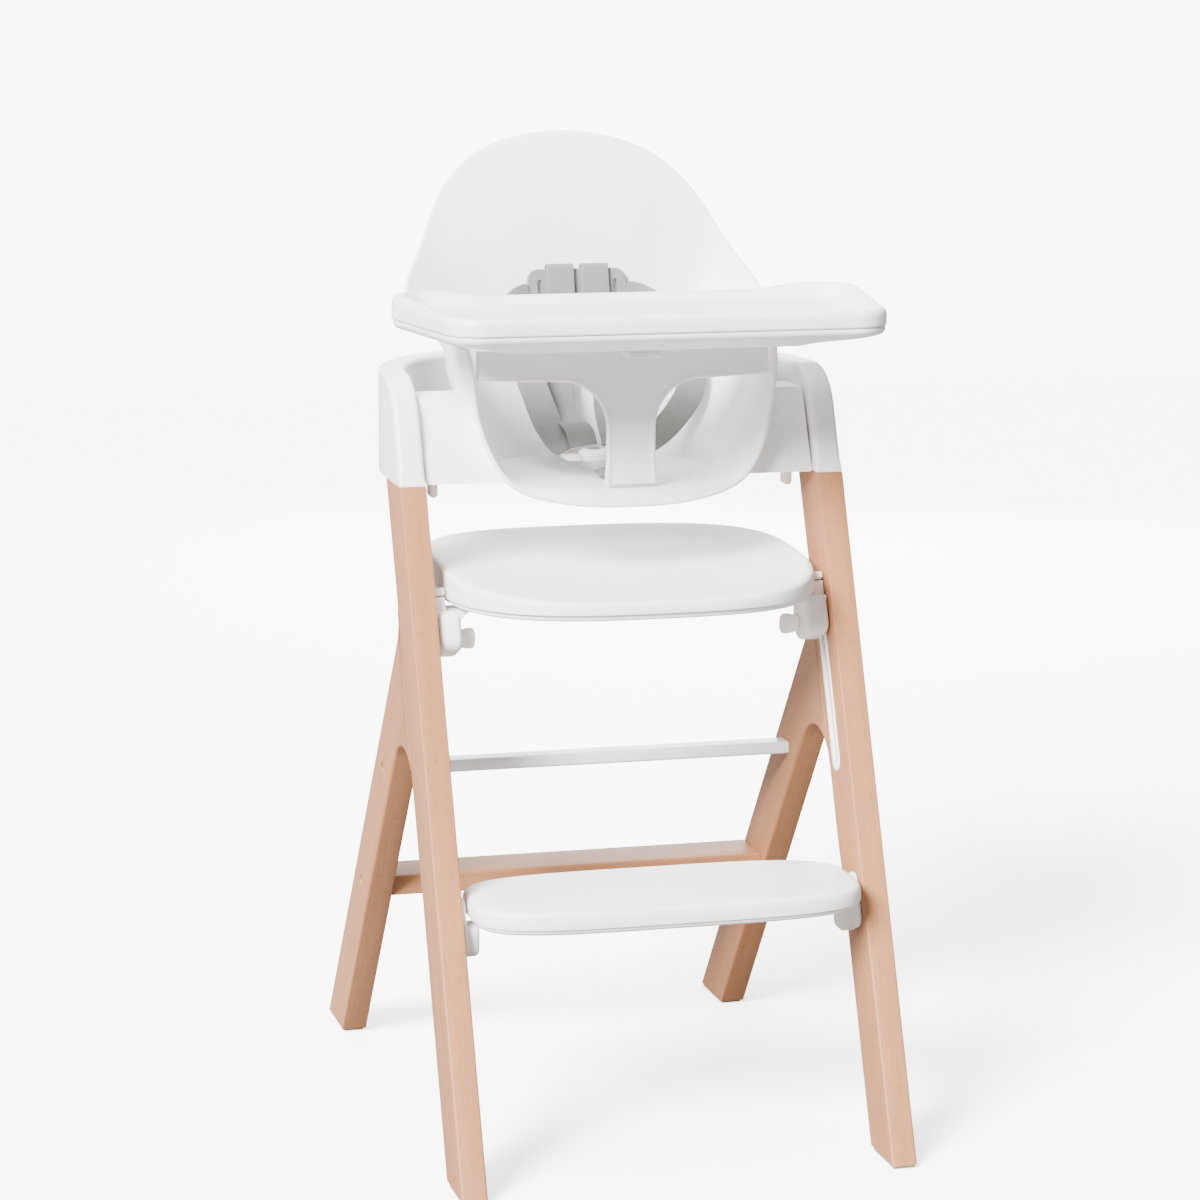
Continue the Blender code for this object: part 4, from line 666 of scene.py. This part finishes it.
def clamp_body(side, s):
    """A leaning, well-rounded block under the plate with a slim arm beside it up to the parting line."""
    block = leaning_tab("block", s, CLAMP_X, CLAMP_OUTER, CLAMP_Y, 0.0215, 0.4610, 0.5010, 0.0120, 0.0055)
    arm = leaning_tab("arm", s, ARM_X, CLAMP_OUTER, CLAMP_Y + 0.0102, ARM_HALF, 0.4760, 0.5110,
                      0.0012, 0.0008)
    hollow = arc((CLAMP_X - CLAMP_REACH, GUSSET_LOW), 0.0205, 60, -4, 12)
    edge = CLAMP_OUTER - 0.0006
    corners = [[edge, GUSSET_LOW], [edge, GUSSET_HIGH], [hollow[0, 0], GUSSET_HIGH]]
    gusset = np.concatenate([corners, hollow])
    web = board("gusset", gusset * [s, 1], CLAMP_Y - 0.0125, CLAMP_Y + 0.0240, 0.0002, "y")
    block.name = f"seat_bracket_{side}_moulding"
    carve(block, [arm, web], "UNION", 50)
    return block


def clamp_cap(side, s):
    """The cap over the arm, parted from it by a fine line, with a rounded top."""
    return leaning_tab(f"seat_bracket_cap_{side}_moulding", s, ARM_X, CLAMP_OUTER, CLAMP_Y + 0.0172, ARM_HALF,
                       0.5114, 0.5190, 0.0030, 0.0012)


def paddle_knob(side, s):
    """A paddle that widens and thins towards its round tip, on a collar: sections along X."""
    tip = CLAMP_X - CLAMP_REACH
    sizes = eased([(0.0000, 0.0010, 0.0010), (0.0004, 0.0052, 0.0022), (0.0014, 0.0080, 0.0034),
                   (0.0032, 0.0095, 0.0043), (0.0065, 0.0099, 0.0049), (0.0105, 0.0093, 0.0056),
                   (0.0135, 0.0085, 0.0068), (0.0150, 0.0082, 0.0080), (0.0175, 0.0082, 0.0082)], 34)
    turn = np.linspace(0, 2 * math.pi, 40, endpoint=False)
    bow = np.stack([np.cos(turn), np.sin(turn)], axis=1)
    ring = np.sign(bow) * np.abs(bow) ** 0.72
    rows = []
    for along, tall, deep in sizes:
        y, z = STUD_Y + deep * ring[:, 0], CLAMP_Z + tall * ring[:, 1]
        rows.append(np.column_stack([np.full(len(ring), s * (tip + along)), y, z]))
    return surface(f"clamp_knob_{side}_paddle", rows, lids=True, sharp=60)


for side, s in SIDES:
    white(clamp_body(side, s), "seat_plate", f"seat_bracket_{side}")
    white(clamp_cap(side, s), "seat_plate", f"seat_bracket_cap_{side}")
    white(paddle_knob(side, s), f"knob_{side}", f"clamp_knob_{side}")


# ---------------------------------------------------------------- infant seat
# One white injection-moulded bucket: pan, high back and a rim that flares round
# the leg opening. A wing at each side drops into the band and hides the latch.
SHELL, WING_X, WING_TOP = 0.0040, 0.1907, 0.6950
WING_FRONT_Y, WING_REAR_Y, WING_LEAN = -0.0490, 0.0280, 0.45
PAN_MIDDLE = np.array([0.0, 0.028, 0.6090])
SEAT_RIBS = np.array([
    [(0.000, -0.040, 0.6120), (0.000, -0.060, 0.6130), (0.000, -0.074, 0.6120),
     (0.000, -0.085, 0.6070), (0.000, -0.092, 0.5970)],
    [(0.045, -0.038, 0.6120), (0.048, -0.058, 0.6130), (0.050, -0.072, 0.6125),
     (0.052, -0.083, 0.6085), (0.053, -0.089, 0.5990)],
    [(0.078, -0.034, 0.6125), (0.084, -0.050, 0.6140), (0.089, -0.062, 0.6145),
     (0.094, -0.072, 0.6135), (0.098, -0.079, 0.6100)],
    [(0.094, -0.026, 0.6150), (0.104, -0.038, 0.6200), (0.111, -0.049, 0.6245),
     (0.118, -0.060, 0.6290), (0.1245, -0.071, 0.6330)],
    [(0.100, -0.012, 0.6165), (0.116, -0.021, 0.6320), (0.126, -0.031, 0.6500),
     (0.134, -0.045, 0.6670), (0.1420, -0.062, 0.6790)],
    [(0.103, 0.006, 0.6165), (0.124, -0.001, 0.6450), (0.1345, -0.010, 0.6800),
     (0.1410, -0.026, 0.7150), (0.1485, -0.050, 0.7430)],
    [(0.103, 0.030, 0.6165), (0.127, 0.031, 0.6530), (0.1400, 0.031, 0.6920),
     (0.1450, 0.030, 0.7250), (0.1500, 0.022, 0.7480)],
    [(0.098, 0.056, 0.6170), (0.122, 0.068, 0.6640), (0.1370, 0.075, 0.7080),
     (0.1450, 0.081, 0.7430), (0.1790, 0.086, 0.7780)],
    [(0.086, 0.078, 0.6180), (0.106, 0.093, 0.6760), (0.1180, 0.103, 0.7310),
     (0.1340, 0.117, 0.7840), (0.1560, 0.130, 0.8240)],
    [(0.070, 0.090, 0.6190), (0.085, 0.105, 0.6850), (0.0930, 0.117, 0.7500),
     (0.1060, 0.138, 0.8240), (0.1235, 0.166, 0.8810)],
    [(0.042, 0.096, 0.6200), (0.050, 0.110, 0.6900), (0.0550, 0.123, 0.7640),
     (0.0620, 0.147, 0.8490), (0.0760, 0.186, 0.9170)],
    [(0.000, 0.098, 0.6200), (0.000, 0.112, 0.6920), (0.000, 0.125, 0.7680),
     (0.000, 0.150, 0.8550), (0.000, 0.193, 0.9310)],
])


def round_spline(points, count):
    """A closed Catmull-Rom spline through given points, taken column by column."""
    place = np.linspace(0, len(points), count, endpoint=False)
    i = place.astype(int)
    f = (place - i).reshape((-1,) + (1,) * (points.ndim - 1))
    return catmull_rom(f, *(points[(i + k) % len(points)] for k in (-1, 0, 1, 2)))


def seat_sheet(columns=288, rows=56):
    """Inner surface of the bucket and its outward normal.

    The ribs run from the pan to the rim. A closed spline joins like points of all ribs round the
    seat, and an open one then runs up every column. The normal is the cross product of the two ways.
    """
    ribs = np.concatenate([SEAT_RIBS, SEAT_RIBS[1:-1][::-1] * [-1, 1, 1]])
    sheet = eased(np.moveaxis(round_spline(ribs, columns), 1, 0), rows)
    around = np.roll(sheet, -1, axis=1) - np.roll(sheet, 1, axis=1)
    normal = np.cross(np.gradient(sheet, axis=0), around)
    normal /= np.linalg.norm(normal, axis=2, keepdims=True)
    if (normal * (sheet - [0.0, 0.03, 0.75])).sum() < 0:
        normal = -normal
    return sheet, normal


def bucket():
    """Pan centre, inner surface, a half-round rim of the wall's thickness, outer surface, pan centre.

    The pan closes by rings that shrink to its middle, and settle towards it with k squared.
    """
    sheet, normal = seat_sheet()
    upward = sheet[-1] - sheet[-2]
    upward /= np.linalg.norm(upward, axis=1, keepdims=True)
    half = SHELL / 2
    rim = sheet[-1] + normal[-1] * half - upward * half
    turn = np.linspace(0, math.pi, 9)[1:-1, None, None]
    rim_rows = rim + half * (upward * np.sin(turn) - normal[-1] * np.cos(turn))
    inner = sheet[:-1]
    outer = (sheet + normal * SHELL)[:-1][::-1]
    share = np.linspace(0, 1, 12)[:-1, None, None]
    pan_in = PAN_MIDDLE + (inner[0] - PAN_MIDDLE) * np.concatenate([share, share, share ** 1.6], axis=2)
    pan_low = PAN_MIDDLE - [0, 0, SHELL]
    pan_out = pan_low + (outer[-1] - pan_low) * np.concatenate([share, share, share ** 1.6], axis=2)[::-1]
    return surface("infant_seat_bucket", np.concatenate([pan_in, inner, rim_rows, outer, pan_out]), sharp=60)


def wing(side, s):
    """A hollow block with a leaning front, cut off along the middle of the bucket's wall."""
    def front(z):
        return WING_FRONT_Y + WING_LEAN * (z - CAP_Z)

    def four(front_wall, rear_wall, low, high):
        return np.array([(rear_wall, low), (rear_wall, high), (front(high) + front_wall, high),
                         (front(low) + front_wall, low)])

    block = board(f"wing_{side}", four(0.0, WING_REAR_Y, CAP_Z, WING_TOP),
                  *sorted((s * 0.100, s * WING_X)), 0.0035)
    pocket = board("pocket", four(0.003, WING_REAR_Y - 0.003, CAP_Z - 0.002, WING_TOP - 0.003),
                   *sorted((s * 0.148, s * (WING_X - 0.003))), 0.0)
    sheet, normal = seat_sheet(144, 28)
    middle = sheet + normal * SHELL / 2
    low, high = PAN_MIDDLE - [0, 0, SHELL / 2], np.array([0.0, 0.02, 0.82])
    ends = [np.tile(low, (1, 144, 1)), middle, np.tile(high, (1, 144, 1))]
    plug = surface("plug", np.concatenate(ends))
    return carve(block, [pocket, plug], sharp=40)


seat_shell = bucket()
carve(seat_shell, [wing("left", -1), wing("right", 1)], "UNION", 40)
seat_shell.name = "infant_seat_shell"
white(seat_shell, "baby_seat", "infant_seat")


# ---------------------------------------------------------------- release levers
# Small white finger hooks that hang out of the wings on steel pins. Squeezed
# inwards together, they unlatch the infant seat from the band.
LEVER_X, LEVER_Y, LEVER_LOW, LEVER_TOP, PIN_Z = 0.1760, -0.0100, 0.6030, 0.6720, 0.662

for side, s in SIDES:
    tip = arc((LEVER_X, LEVER_LOW), 0.0040, 180, 360, 17)
    outline = np.concatenate([tip, [(LEVER_X + 0.0040, LEVER_TOP), (LEVER_X - 0.0040, LEVER_TOP)]]) * [s, 1]
    lever = board(f"release_lever_{side}_hook", outline, LEVER_Y - 0.0068, LEVER_Y + 0.0068, 0.0012, "y")
    ends = [(s * LEVER_X, LEVER_Y + reach, PIN_Z) for reach in (-0.01, 0.01)]
    carve(lever, [rod("pin_hole", *ends, 0.0019)])
    white(lever, f"lever_{side}", f"release_lever_{side}")


# ---------------------------------------------------------------- crotch bar
# A white T-shaped moulding pinned between the sides of the seat. It is a thin
# web inside a raised bead that follows its edge, and its post flares into the bar.
T_END_X, T_END_Y, T_MID_Y = 0.1425, -0.0500, -0.0790
T_LOW, T_HIGH, T_POST_LOW = 0.7140, 0.7420, 0.6165
T_POST_HALF, T_FLARE, T_THICK = 0.0236, 0.0450, 0.0070


def t_bar():
    """Right half first: straight lines lead from a spine to the edge.

    The edge goes up the post, round the flare and along the underside of the bar; the spine goes up
    the middle and then along the top. Relief depends on the distance to the edge alone: a
    quarter-round, a bead, and a web that lies deeper. Both faces bow back towards the ends with x^2.
    """
    foot_top = 0.640
    post = np.column_stack([np.linspace(T_POST_HALF + 0.0015, T_POST_HALF, 5),
                            np.linspace(T_POST_LOW, foot_top, 5)])
    rise = np.column_stack([np.full(11, T_POST_HALF), np.linspace(foot_top, T_LOW - T_FLARE, 11)])[1:]
    flare = arc((T_POST_HALF + T_FLARE, T_LOW - T_FLARE), T_FLARE, 180, 95, 26)[1:]
    under = np.linspace(flare[-1], [T_END_X, T_LOW], 40)[1:]
    edge = np.concatenate([post, rise, flare, under])
    run = np.concatenate([[0], np.cumsum(np.linalg.norm(np.diff(edge, axis=0), axis=1))])
    turn_at = run[len(post) + len(rise) + 14]
    climb = np.clip(run / turn_at, 0, 1)
    along = np.clip((run - turn_at) / (run[-1] - turn_at), 0, 1)
    spine = np.column_stack([along * T_END_X, T_POST_LOW + climb * (T_HIGH - T_POST_LOW)])
    near = np.array([0, 0.0003, 0.0008, 0.0014, 0.0020, 0.0026, 0.0032, 0.0040, 0.0050, 0.0065])
    length = np.linalg.norm(spine - edge, axis=1)[:, None]
    span = np.maximum(length, 0.0140)
    share = np.concatenate([near / span, 1 - (1 - near[-1] / span) * np.linspace(1, 0, 12)[None, 1:]], axis=1)
    sheet = edge[:, None, :] + (spine - edge)[:, None, :] * share[..., None]

    rim = np.concatenate([edge, [[T_END_X, T_HIGH]]])
    start, step = rim[:-1], np.diff(rim, axis=0)
    away = sheet[..., None, :] - start
    t = np.clip((away * step).sum(-1) / (step ** 2).sum(-1), 0, 1)
    gap = np.linalg.norm(away - t[..., None] * step, axis=-1).min(-1)
    corner = 0.0022
    half = T_THICK / 2
    rounding = corner - np.sqrt(np.clip(corner ** 2 - (corner - np.minimum(gap, corner)) ** 2, 0, None))
    bead, slope, sunk = 0.0028, 0.0022, 0.0011
    drop = np.clip((gap - bead) / slope, 0, 1)
    web = sunk * drop ** 2 * (3 - 2 * drop)
    bow = T_MID_Y + (T_END_Y - T_MID_Y) * (sheet[..., 0] / T_END_X) ** 2
    front = np.stack([sheet[..., 0], bow - half + rounding + web, sheet[..., 1]], axis=-1)
    rear = np.stack([sheet[..., 0], bow + half - rounding, sheet[..., 1]], axis=-1)
    return np.concatenate([front[:, ::-1], rear], axis=1)


def mirrored(name, half_grid, sharp=50.0):
    """A closed half and its mirror image, joined where they meet in the middle plane."""
    halves = [surface(name, half_grid * [s, 1, 1], lids=True) for s in (1, -1)]
    build = bmesh.new()
    for half in halves:
        build.from_mesh(half.data)
    inner = [face for face in build.faces if all(abs(corner.co.x) < 0.000002 for corner in face.verts)]
    bmesh.ops.delete(build, geom=inner, context="FACES")
    build.to_mesh(halves[0].data)
    build.free()
    bpy.data.objects.remove(halves[1])
    return sound(halves[0], sharp)


bar = mirrored("t_bar_moulding", t_bar())
white(bar, "baby_seat", "t_bar")


# ---------------------------------------------------------------- harness
# Grey polyester webbing: two shoulder straps and two side straps come through a
# plate on the seat back, and meet a short crotch strap in a white buckle.
WEB_WIDTH, WEB_THICK = 0.0280, 0.0016
WEFT_PITCH, WARP_PITCH = 0.0011, 0.0014
grey_plastic = moulded("grey_plastic", (0.205, 0.213, 0.208), (0.185, 0.193, 0.188), 0.45, 0.15)


def webbing_weave():
    """Plain-woven webbing on UVs in metres: weft ribs across, broken by the warp, under a fuzz, with painted
    shade in the valleys between the ribs.
    """
    group, given, out = new_group("webbing_weave", [("Vector", "NodeSocketVector", None)], FIGURE_OUTPUTS)
    vector = given.outputs["Vector"]
    parts = node(group, "SeparateXYZ", [("Vector", vector)])
    weft, warp = (maths(group, "SINE", maths(group, "MULTIPLY", parts.outputs[axis], 2 * math.pi / pitch))
                  for axis, pitch in (("Y", WEFT_PITCH), ("X", WARP_PITCH)))
    height = mapped(group, maths(group, "MULTIPLY", weft, warp), from_min=-1.0)
    fuzz = noise(group, vector, 2600.0, 2.0)
    tone = blend(group, noise(group, vector, 60.0, 2.0), (0.170, 0.178, 0.172, 1), (0.215, 0.224, 0.217, 1))
    # Painted shade: where the weave lies lowest, between the ribs, the colour runs up to 0.35 of the way to a
    # shadow grey.
    low = mapped(group, height, to_min=0.35, to_max=0.0)
    feed(group, out, [("Color", blend(group, low, tone, (0.105, 0.111, 0.107, 1))),
                      ("Roughness", mapped(group, fuzz, to_min=0.72, to_max=0.92)),
                      ("Height", maths(group, "ADD", height, fuzz))])
    return group


def strap_place(tree):
    """The strap's own UV map: across it and along it, in metres."""
    return node(tree, "UVMap", uv_map="strap").outputs[0]


grey_webbing = figured("grey_webbing", webbing_weave(), strap_place, [], (0.6, 0.0003),
                       [("Sheen Weight", 0.25), ("Sheen Roughness", 0.5)])


def strap(name, points, across, width, count=140):
    """Webbing along a smooth path: a flat section with round selvedges, square to the way ahead.

    UV u runs across the strap and v along it, both in metres.
    """
    path, sides = eased(points, count), eased(across, count)
    ahead = np.gradient(path, axis=0)
    ahead /= np.linalg.norm(ahead, axis=1, keepdims=True)
    sides = sides - ahead * (sides * ahead).sum(1, keepdims=True)
    sides /= np.linalg.norm(sides, axis=1, keepdims=True)
    face = np.cross(sides, ahead)
    half, thin = width / 2, WEB_THICK / 2
    turn = np.linspace(-math.pi / 2, math.pi / 2, 7)
    flat = np.linspace(-half + thin, half - thin, 9)[1:-1]
    u = np.concatenate([half - thin + thin * np.cos(turn), flat[::-1],
                        -half + thin - thin * np.cos(turn), flat])
    v = np.concatenate([thin * np.sin(turn), np.full(7, thin), -thin * np.sin(turn), np.full(7, -thin)])
    grid = path[:, None] + sides[:, None] * u[None, :, None] + face[:, None] * v[None, :, None]
    run = np.concatenate([[0], np.cumsum(np.linalg.norm(np.diff(path, axis=0), axis=1))])
    piece = surface(name, grid, lids=True, sharp=60)
    mesh = piece.data
    corners = np.empty(len(mesh.loops), int)
    mesh.loops.foreach_get("vertex_index", corners)
    spots = np.empty(len(mesh.vertices) * 3)
    mesh.vertices.foreach_get("co", spots)
    spots = spots.reshape(-1, 3)
    nearest = np.linalg.norm(spots[:, None] - path[None], axis=2).argmin(1)
    cross_place = ((spots - path[nearest]) * sides[nearest]).sum(1)
    long_place = run[nearest] + ((spots - path[nearest]) * ahead[nearest]).sum(1)
    mesh.uv_layers.new(name="strap").data.foreach_set(
        "uv", np.stack([cross_place, long_place], axis=1)[corners].ravel())
    return piece


UPPER = [(0.0175, 0.1292, 0.7995), (0.0175, 0.1270, 0.8028), (0.0175, 0.1230, 0.8030),
         (0.0175, 0.1200, 0.7960), (0.0180, 0.1145, 0.7700), (0.0200, 0.1060, 0.7350),
         (0.0230, 0.0990, 0.6950)]
LOOSE = {"left": [(-0.0240, 0.0870, 0.6680), (-0.0225, 0.0720, 0.6570), (-0.0200, 0.0560, 0.6550),
                  (-0.0170, 0.0440, 0.6490), (-0.0150, 0.0370, 0.6360)],
         "right": [(0.0240, 0.0900, 0.6600), (0.0250, 0.0700, 0.6370), (0.0200, 0.0460, 0.6340)]}
SIDE_PATH = {"left": [(-0.0480, 0.1190, 0.7730), (-0.0600, 0.1160, 0.7690), (-0.0700, 0.1090, 0.7560),
                      (-0.0690, 0.0980, 0.7300), (-0.0590, 0.0900, 0.7050), (-0.0520, 0.0800, 0.6820),
                      (-0.0450, 0.0670, 0.6580), (-0.0370, 0.0540, 0.6420), (-0.0300, 0.0400, 0.6330)],
             "right": [(0.0480, 0.1190, 0.7730), (0.0620, 0.1160, 0.7700), (0.0790, 0.1060, 0.7580),
                       (0.0950, 0.0930, 0.7320), (0.1050, 0.0800, 0.7040), (0.1020, 0.0700, 0.6840),
                       (0.0860, 0.0610, 0.6620), (0.0640, 0.0500, 0.6440), (0.0400, 0.0400, 0.6330)]}
SIDE_ACROSS = {"left": [(0, 0.1, 1), (-0.35, 0.1, 0.94), (-0.9, 0.2, 0.3), (-1, 0.2, -0.2), (-1, 0.2, -0.3),
                        (-1, 0.1, -0.3), (-0.9, 0, -0.4), (-0.8, -0.1, -0.5), (-0.7, -0.3, -0.4)],
               "right": [(0, 0.1, 1), (0.35, 0.0, 0.94), (0.75, -0.25, 0.5), (0.9, -0.35, 0.2),
                         (0.9, -0.35, -0.1), (0.85, -0.2, -0.4), (0.7, 0, -0.6), (0.6, 0.2, -0.6),
                         (0.5, 0.5, -0.3)]}
for side, s in SIDES:
    points = np.concatenate([np.array(UPPER) * [s, 1, 1], LOOSE[side]])
    sideways = np.tile([float(s), 0, 0], (len(points), 1))
    shoulder = strap(f"shoulder_strap_{side}_webbing", points, sideways, WEB_WIDTH)
    build_in(shoulder, grey_webbing, "baby_seat", f"shoulder_strap_{side}")
    side_strap = strap(f"side_strap_{side}_webbing", SIDE_PATH[side], SIDE_ACROSS[side], WEB_WIDTH)
    build_in(side_strap, grey_webbing, "baby_seat", f"side_strap_{side}")

CROTCH_PATH = [(0.0, -0.0100, 0.6128), (0.0, 0.0000, 0.6145), (-0.0030, 0.0080, 0.6185)]
crotch = strap("crotch_strap_webbing", CROTCH_PATH, np.tile([1.0, 0, 0], (3, 1)), 0.0240, 24)
build_in(crotch, grey_webbing, "baby_seat", "crotch_strap")
BUCKLE_X, BUCKLE_Y, BUCKLE_LOW = -0.0080, 0.0250, 0.6235


def buckle_plan(inset):
    return oval(0.0150 - inset, 0.0140 - inset, BUCKLE_Y, 2.6) + [BUCKLE_X, 0.0]


profile = rows_at(BUCKLE_LOW, (0.0050, 0.0), (0.0018, 0.0004), (0.0005, 0.0016), (0.0, 0.0034),
                  (0.0003, 0.0050), (0.0012, 0.0053), (0.0012, 0.0057), (0.0003, 0.0060), (0.0004, 0.0076),
                  (0.0013, 0.0092), (0.0030, 0.0104), (0.0054, 0.0111), (0.0080, 0.0113))
body = moulded_plate("buckle_shell", buckle_plan, profile, level)
button_well = rod("button_well", (BUCKLE_X, BUCKLE_Y, 0.6293), (BUCKLE_X, BUCKLE_Y, 0.6400), 0.0067)
tongue_ways = [board("tongue_way", rounded_bar((BUCKLE_Y, BUCKLE_LOW + 0.0035), (0.0116, 0.0028), 0.0004),
                     *sorted((BUCKLE_X + s * 0.0084, BUCKLE_X + s * 0.0200)), 0.0) for s in (-1, 1)]
carve(body, [button_well] + tongue_ways)
white(body, "baby_seat", "buckle_body")
coat_nodes(["harness_plate", "buckle_button"], grey_plastic)
coat_nodes(["buckle_tongue_left", "buckle_tongue_right"], white_plastic)


# ---------------------------------------------------------------- tray
# Two white shells: the upper tray with its raised, softly rounded rim lifts off
# the lower one, which has a keel, two side guides and a sprung finger paddle.
TRAY_FRONT_Y, TRAY_REAR_Y, TRAY_FRONT_X, TRAY_REAR_X = -0.2300, -0.0300, 0.2090, 0.2265
TRAY_SPLIT, TRAY_RIM, TRAY_FLOOR, TRAY_KEEL, TRAY_HORN = 0.7752, 0.7925, 0.7835, 0.7515, 0.0060
TRAY_FRONT_BEND, TRAY_REAR_BEND, PADDLE_Y, PADDLE_Z = 0.036, 0.040, -0.0960, 0.7440


def tray_plan(inset, corner=18, side=26, edge=44):
    """A four-cornered outline, wider at the back, drawn in by an inset, with quarter-round corners."""
    middle_y = (TRAY_FRONT_Y + TRAY_REAR_Y) / 2
    half_y = (TRAY_REAR_Y - TRAY_FRONT_Y) / 2 - inset
    bends = []
    front, rear = (TRAY_FRONT_X, TRAY_FRONT_BEND), (TRAY_REAR_X, TRAY_REAR_BEND)
    for (reach, radius), start, sx, sy in ((front, -90, 1, -1), (rear, 0, 1, 1), (rear, 90, -1, 1),
                                           (front, 180, -1, -1)):
        r = max(radius - inset, 0.004)
        centre = (sx * (reach - inset - r), middle_y + sy * (half_y - r))
        bends.append(arc(centre, r, start, start + 90, corner))
    runs = []
    for i, bend in enumerate(bends):
        ahead = bends[(i + 1) % 4][0]
        share = np.linspace(0, 1, (side if i % 2 == 0 else edge) + 2)[1:-1, None]
        runs += [bend, bend[-1] + (ahead - bend[-1]) * share]
    return np.concatenate(runs)


def smoothstep(value, low, high):
    t = np.clip((value - low) / (high - low), 0, 1)
    return t * t * (3 - 2 * t)


def horn(flat):
    """The rim's rear corners rise a little, in a smooth step along x and along y."""
    return TRAY_HORN * smoothstep(np.abs(flat[:, 0]), 0.125, 0.185) * smoothstep(flat[:, 1], -0.220, -0.040)


crest = eased([*rows_at(TRAY_SPLIT, (0.0, 0.0024)),
               *rows_at(TRAY_RIM, (0.0, -0.0075, 0.5), (0.0006, -0.0040, 0.8), (0.0024, -0.0012, 1.0),
                        (0.0055, 0, 1.0), (0.0090, 0, 1.0), (0.0125, -0.0008, 0.95),
                        (0.0165, -0.0030, 0.7), (0.0210, -0.0060, 0.35)),
               *rows_at(TRAY_FLOOR, (0.0265, 0.0008, 0.1), (0.0330, 0))], 60)
profile = [*rows_at(TRAY_SPLIT, (0.0100, 0.0045), (0.0055, 0.0030), (0.0035, 0.0004), (0.0014, 0.0004),
                    (0.0004, 0.0010)), *crest]
upper = moulded_plate("tray_cover_shell", tray_plan, profile, horn, sharp=50)
white(upper, "upper_tray", "tray_cover")

belly = eased([*rows_at(TRAY_SPLIT, (0.0009, -0.0028), (0.0022, -0.0052), (0.0060, -0.0078),
                        (0.0200, -0.0112), (0.0380, -0.0146)),
               *rows_at(TRAY_KEEL, (0.0560, 0.0052), (0.0680, 0.0014), (0.0780, 0))], 40)
profile = [*rows_at(TRAY_SPLIT, (0.0080, -0.0040), (0.0050, 0), (0.0022, 0), (0.0011, -0.0006)), *belly]
lower = moulded_plate("tray_base_shell", tray_plan, profile, horn, sharp=50)
guides = [board("guide", rounded_bar((-0.0900, 0.7590), (0.0800, 0.0120), 0.0030),
                *sorted((s * 0.1700, s * 0.1745)), 0.0010) for s in (-1, 1)]
lug_z = (PADDLE_Z - 0.003 + TRAY_KEEL + 0.002) / 2
lugs = [board("lug", rounded_bar((PADDLE_Y, lug_z), (0.008, 0.0125), 0.0020),
              *sorted((s * 0.0175, s * 0.0215)), 0.0006) for s in (-1, 1)]
carve(lower, guides + lugs, "UNION", 50)
carve(lower, [rod("lug_eye", (-0.03, PADDLE_Y, PADDLE_Z), (0.03, PADDLE_Y, PADDLE_Z), 0.0014)], sharp=50)
white(lower, "tray", "tray_base")
flat_paddle = rounded_bar((PADDLE_Y - 0.0140, PADDLE_Z - 0.00075), (0.0340, 0.0045), 0.0018)
paddle = board("tray_release_paddle", flat_paddle, -0.0170, 0.0170, 0.0010)
carve(paddle, [rod("eye", (-0.03, PADDLE_Y, PADDLE_Z), (0.03, PADDLE_Y, PADDLE_Z), 0.00135)])
white(paddle, "tray_paddle", "tray_release")


# ---------------------------------------------------------------- studio
# A plain pale sweep under soft daylight from the upper left, and a weak fill.
def sweep():
    """Floor that bends up into a wall behind: straight, quarter-round, straight."""
    bend = arc((5.0, 2.0), 2.0, -90, 0, 25)
    line = np.concatenate([[[-9.0, 0.0]], bend, [[7.0, 9.0]]])
    x = np.linspace(-12, 12, 2)
    grid = np.stack([np.column_stack([np.full(len(line), k), line]) for k in x])
    return surface("studio_sweep", grid, wrap=False)


def lamp(name, kind, place, aim, **settings):
    """A lamp that faces a point."""
    light = bpy.data.lights.new(name, kind)
    for key, value in settings.items():
        setattr(light, key, value)
    holder = bpy.data.objects.new(name, light)
    holder.location = place
    holder.rotation_euler = (Vector(aim) - Vector(place)).to_track_quat("-Z", "Y").to_euler()
    bpy.context.scene.collection.objects.link(holder)


# The paper is brighter to the camera than to the chair, so its own glow doesn't wash out the shadows.
PAPER_GLOW, PAPER_CHALK = 2.1, 1.25
paper = moulded("studio_paper", (0.20, 0.20, 0.20), (0.20, 0.20, 0.20), 0.9, 0.0)
paper_nodes = paper.node_tree
matt = paper_nodes.nodes["Principled BSDF"]
seen = node(paper_nodes, "LightPath").outputs["Is Camera Ray"]
feed(paper_nodes, matt, [("Emission Color", (1, 1, 1, 1)),
                         ("Emission Strength", maths(paper_nodes, "MULTIPLY", seen, PAPER_GLOW))])
chalk = node(paper_nodes, "BsdfDiffuse", [("Color", maths(paper_nodes, "MULTIPLY", seen, PAPER_CHALK))])
layers = node(paper_nodes, "AddShader", [(0, matt.outputs[0]), (1, chalk.outputs[0])])
feed(paper_nodes, paper_nodes.nodes["Material Output"], [("Surface", layers.outputs[0])])
floor = sweep()
floor.data.materials.append(paper)

lamp("daylight", "SUN", (0, 0, 0), (0.62, 0.55, -0.56), energy=18.5, angle=math.radians(24),
     color=(1.0, 0.985, 0.97))
lamp("overhead", "AREA", (-0.4, 0.4, 3.6), (0, 0, 0.4), energy=120.0, size=2.5)
lamp("rear fill", "AREA", (1.2, 3.2, 1.3), (0, 0, 0.45), energy=80.0, size=1.8)
world = bpy.data.worlds.new("studio")
world.use_nodes = True
feed(world.node_tree, world.node_tree.nodes["Background"],
     [("Color", (1.0, 0.995, 0.99, 1.0)), ("Strength", 0.38)])
bpy.context.scene.world = world
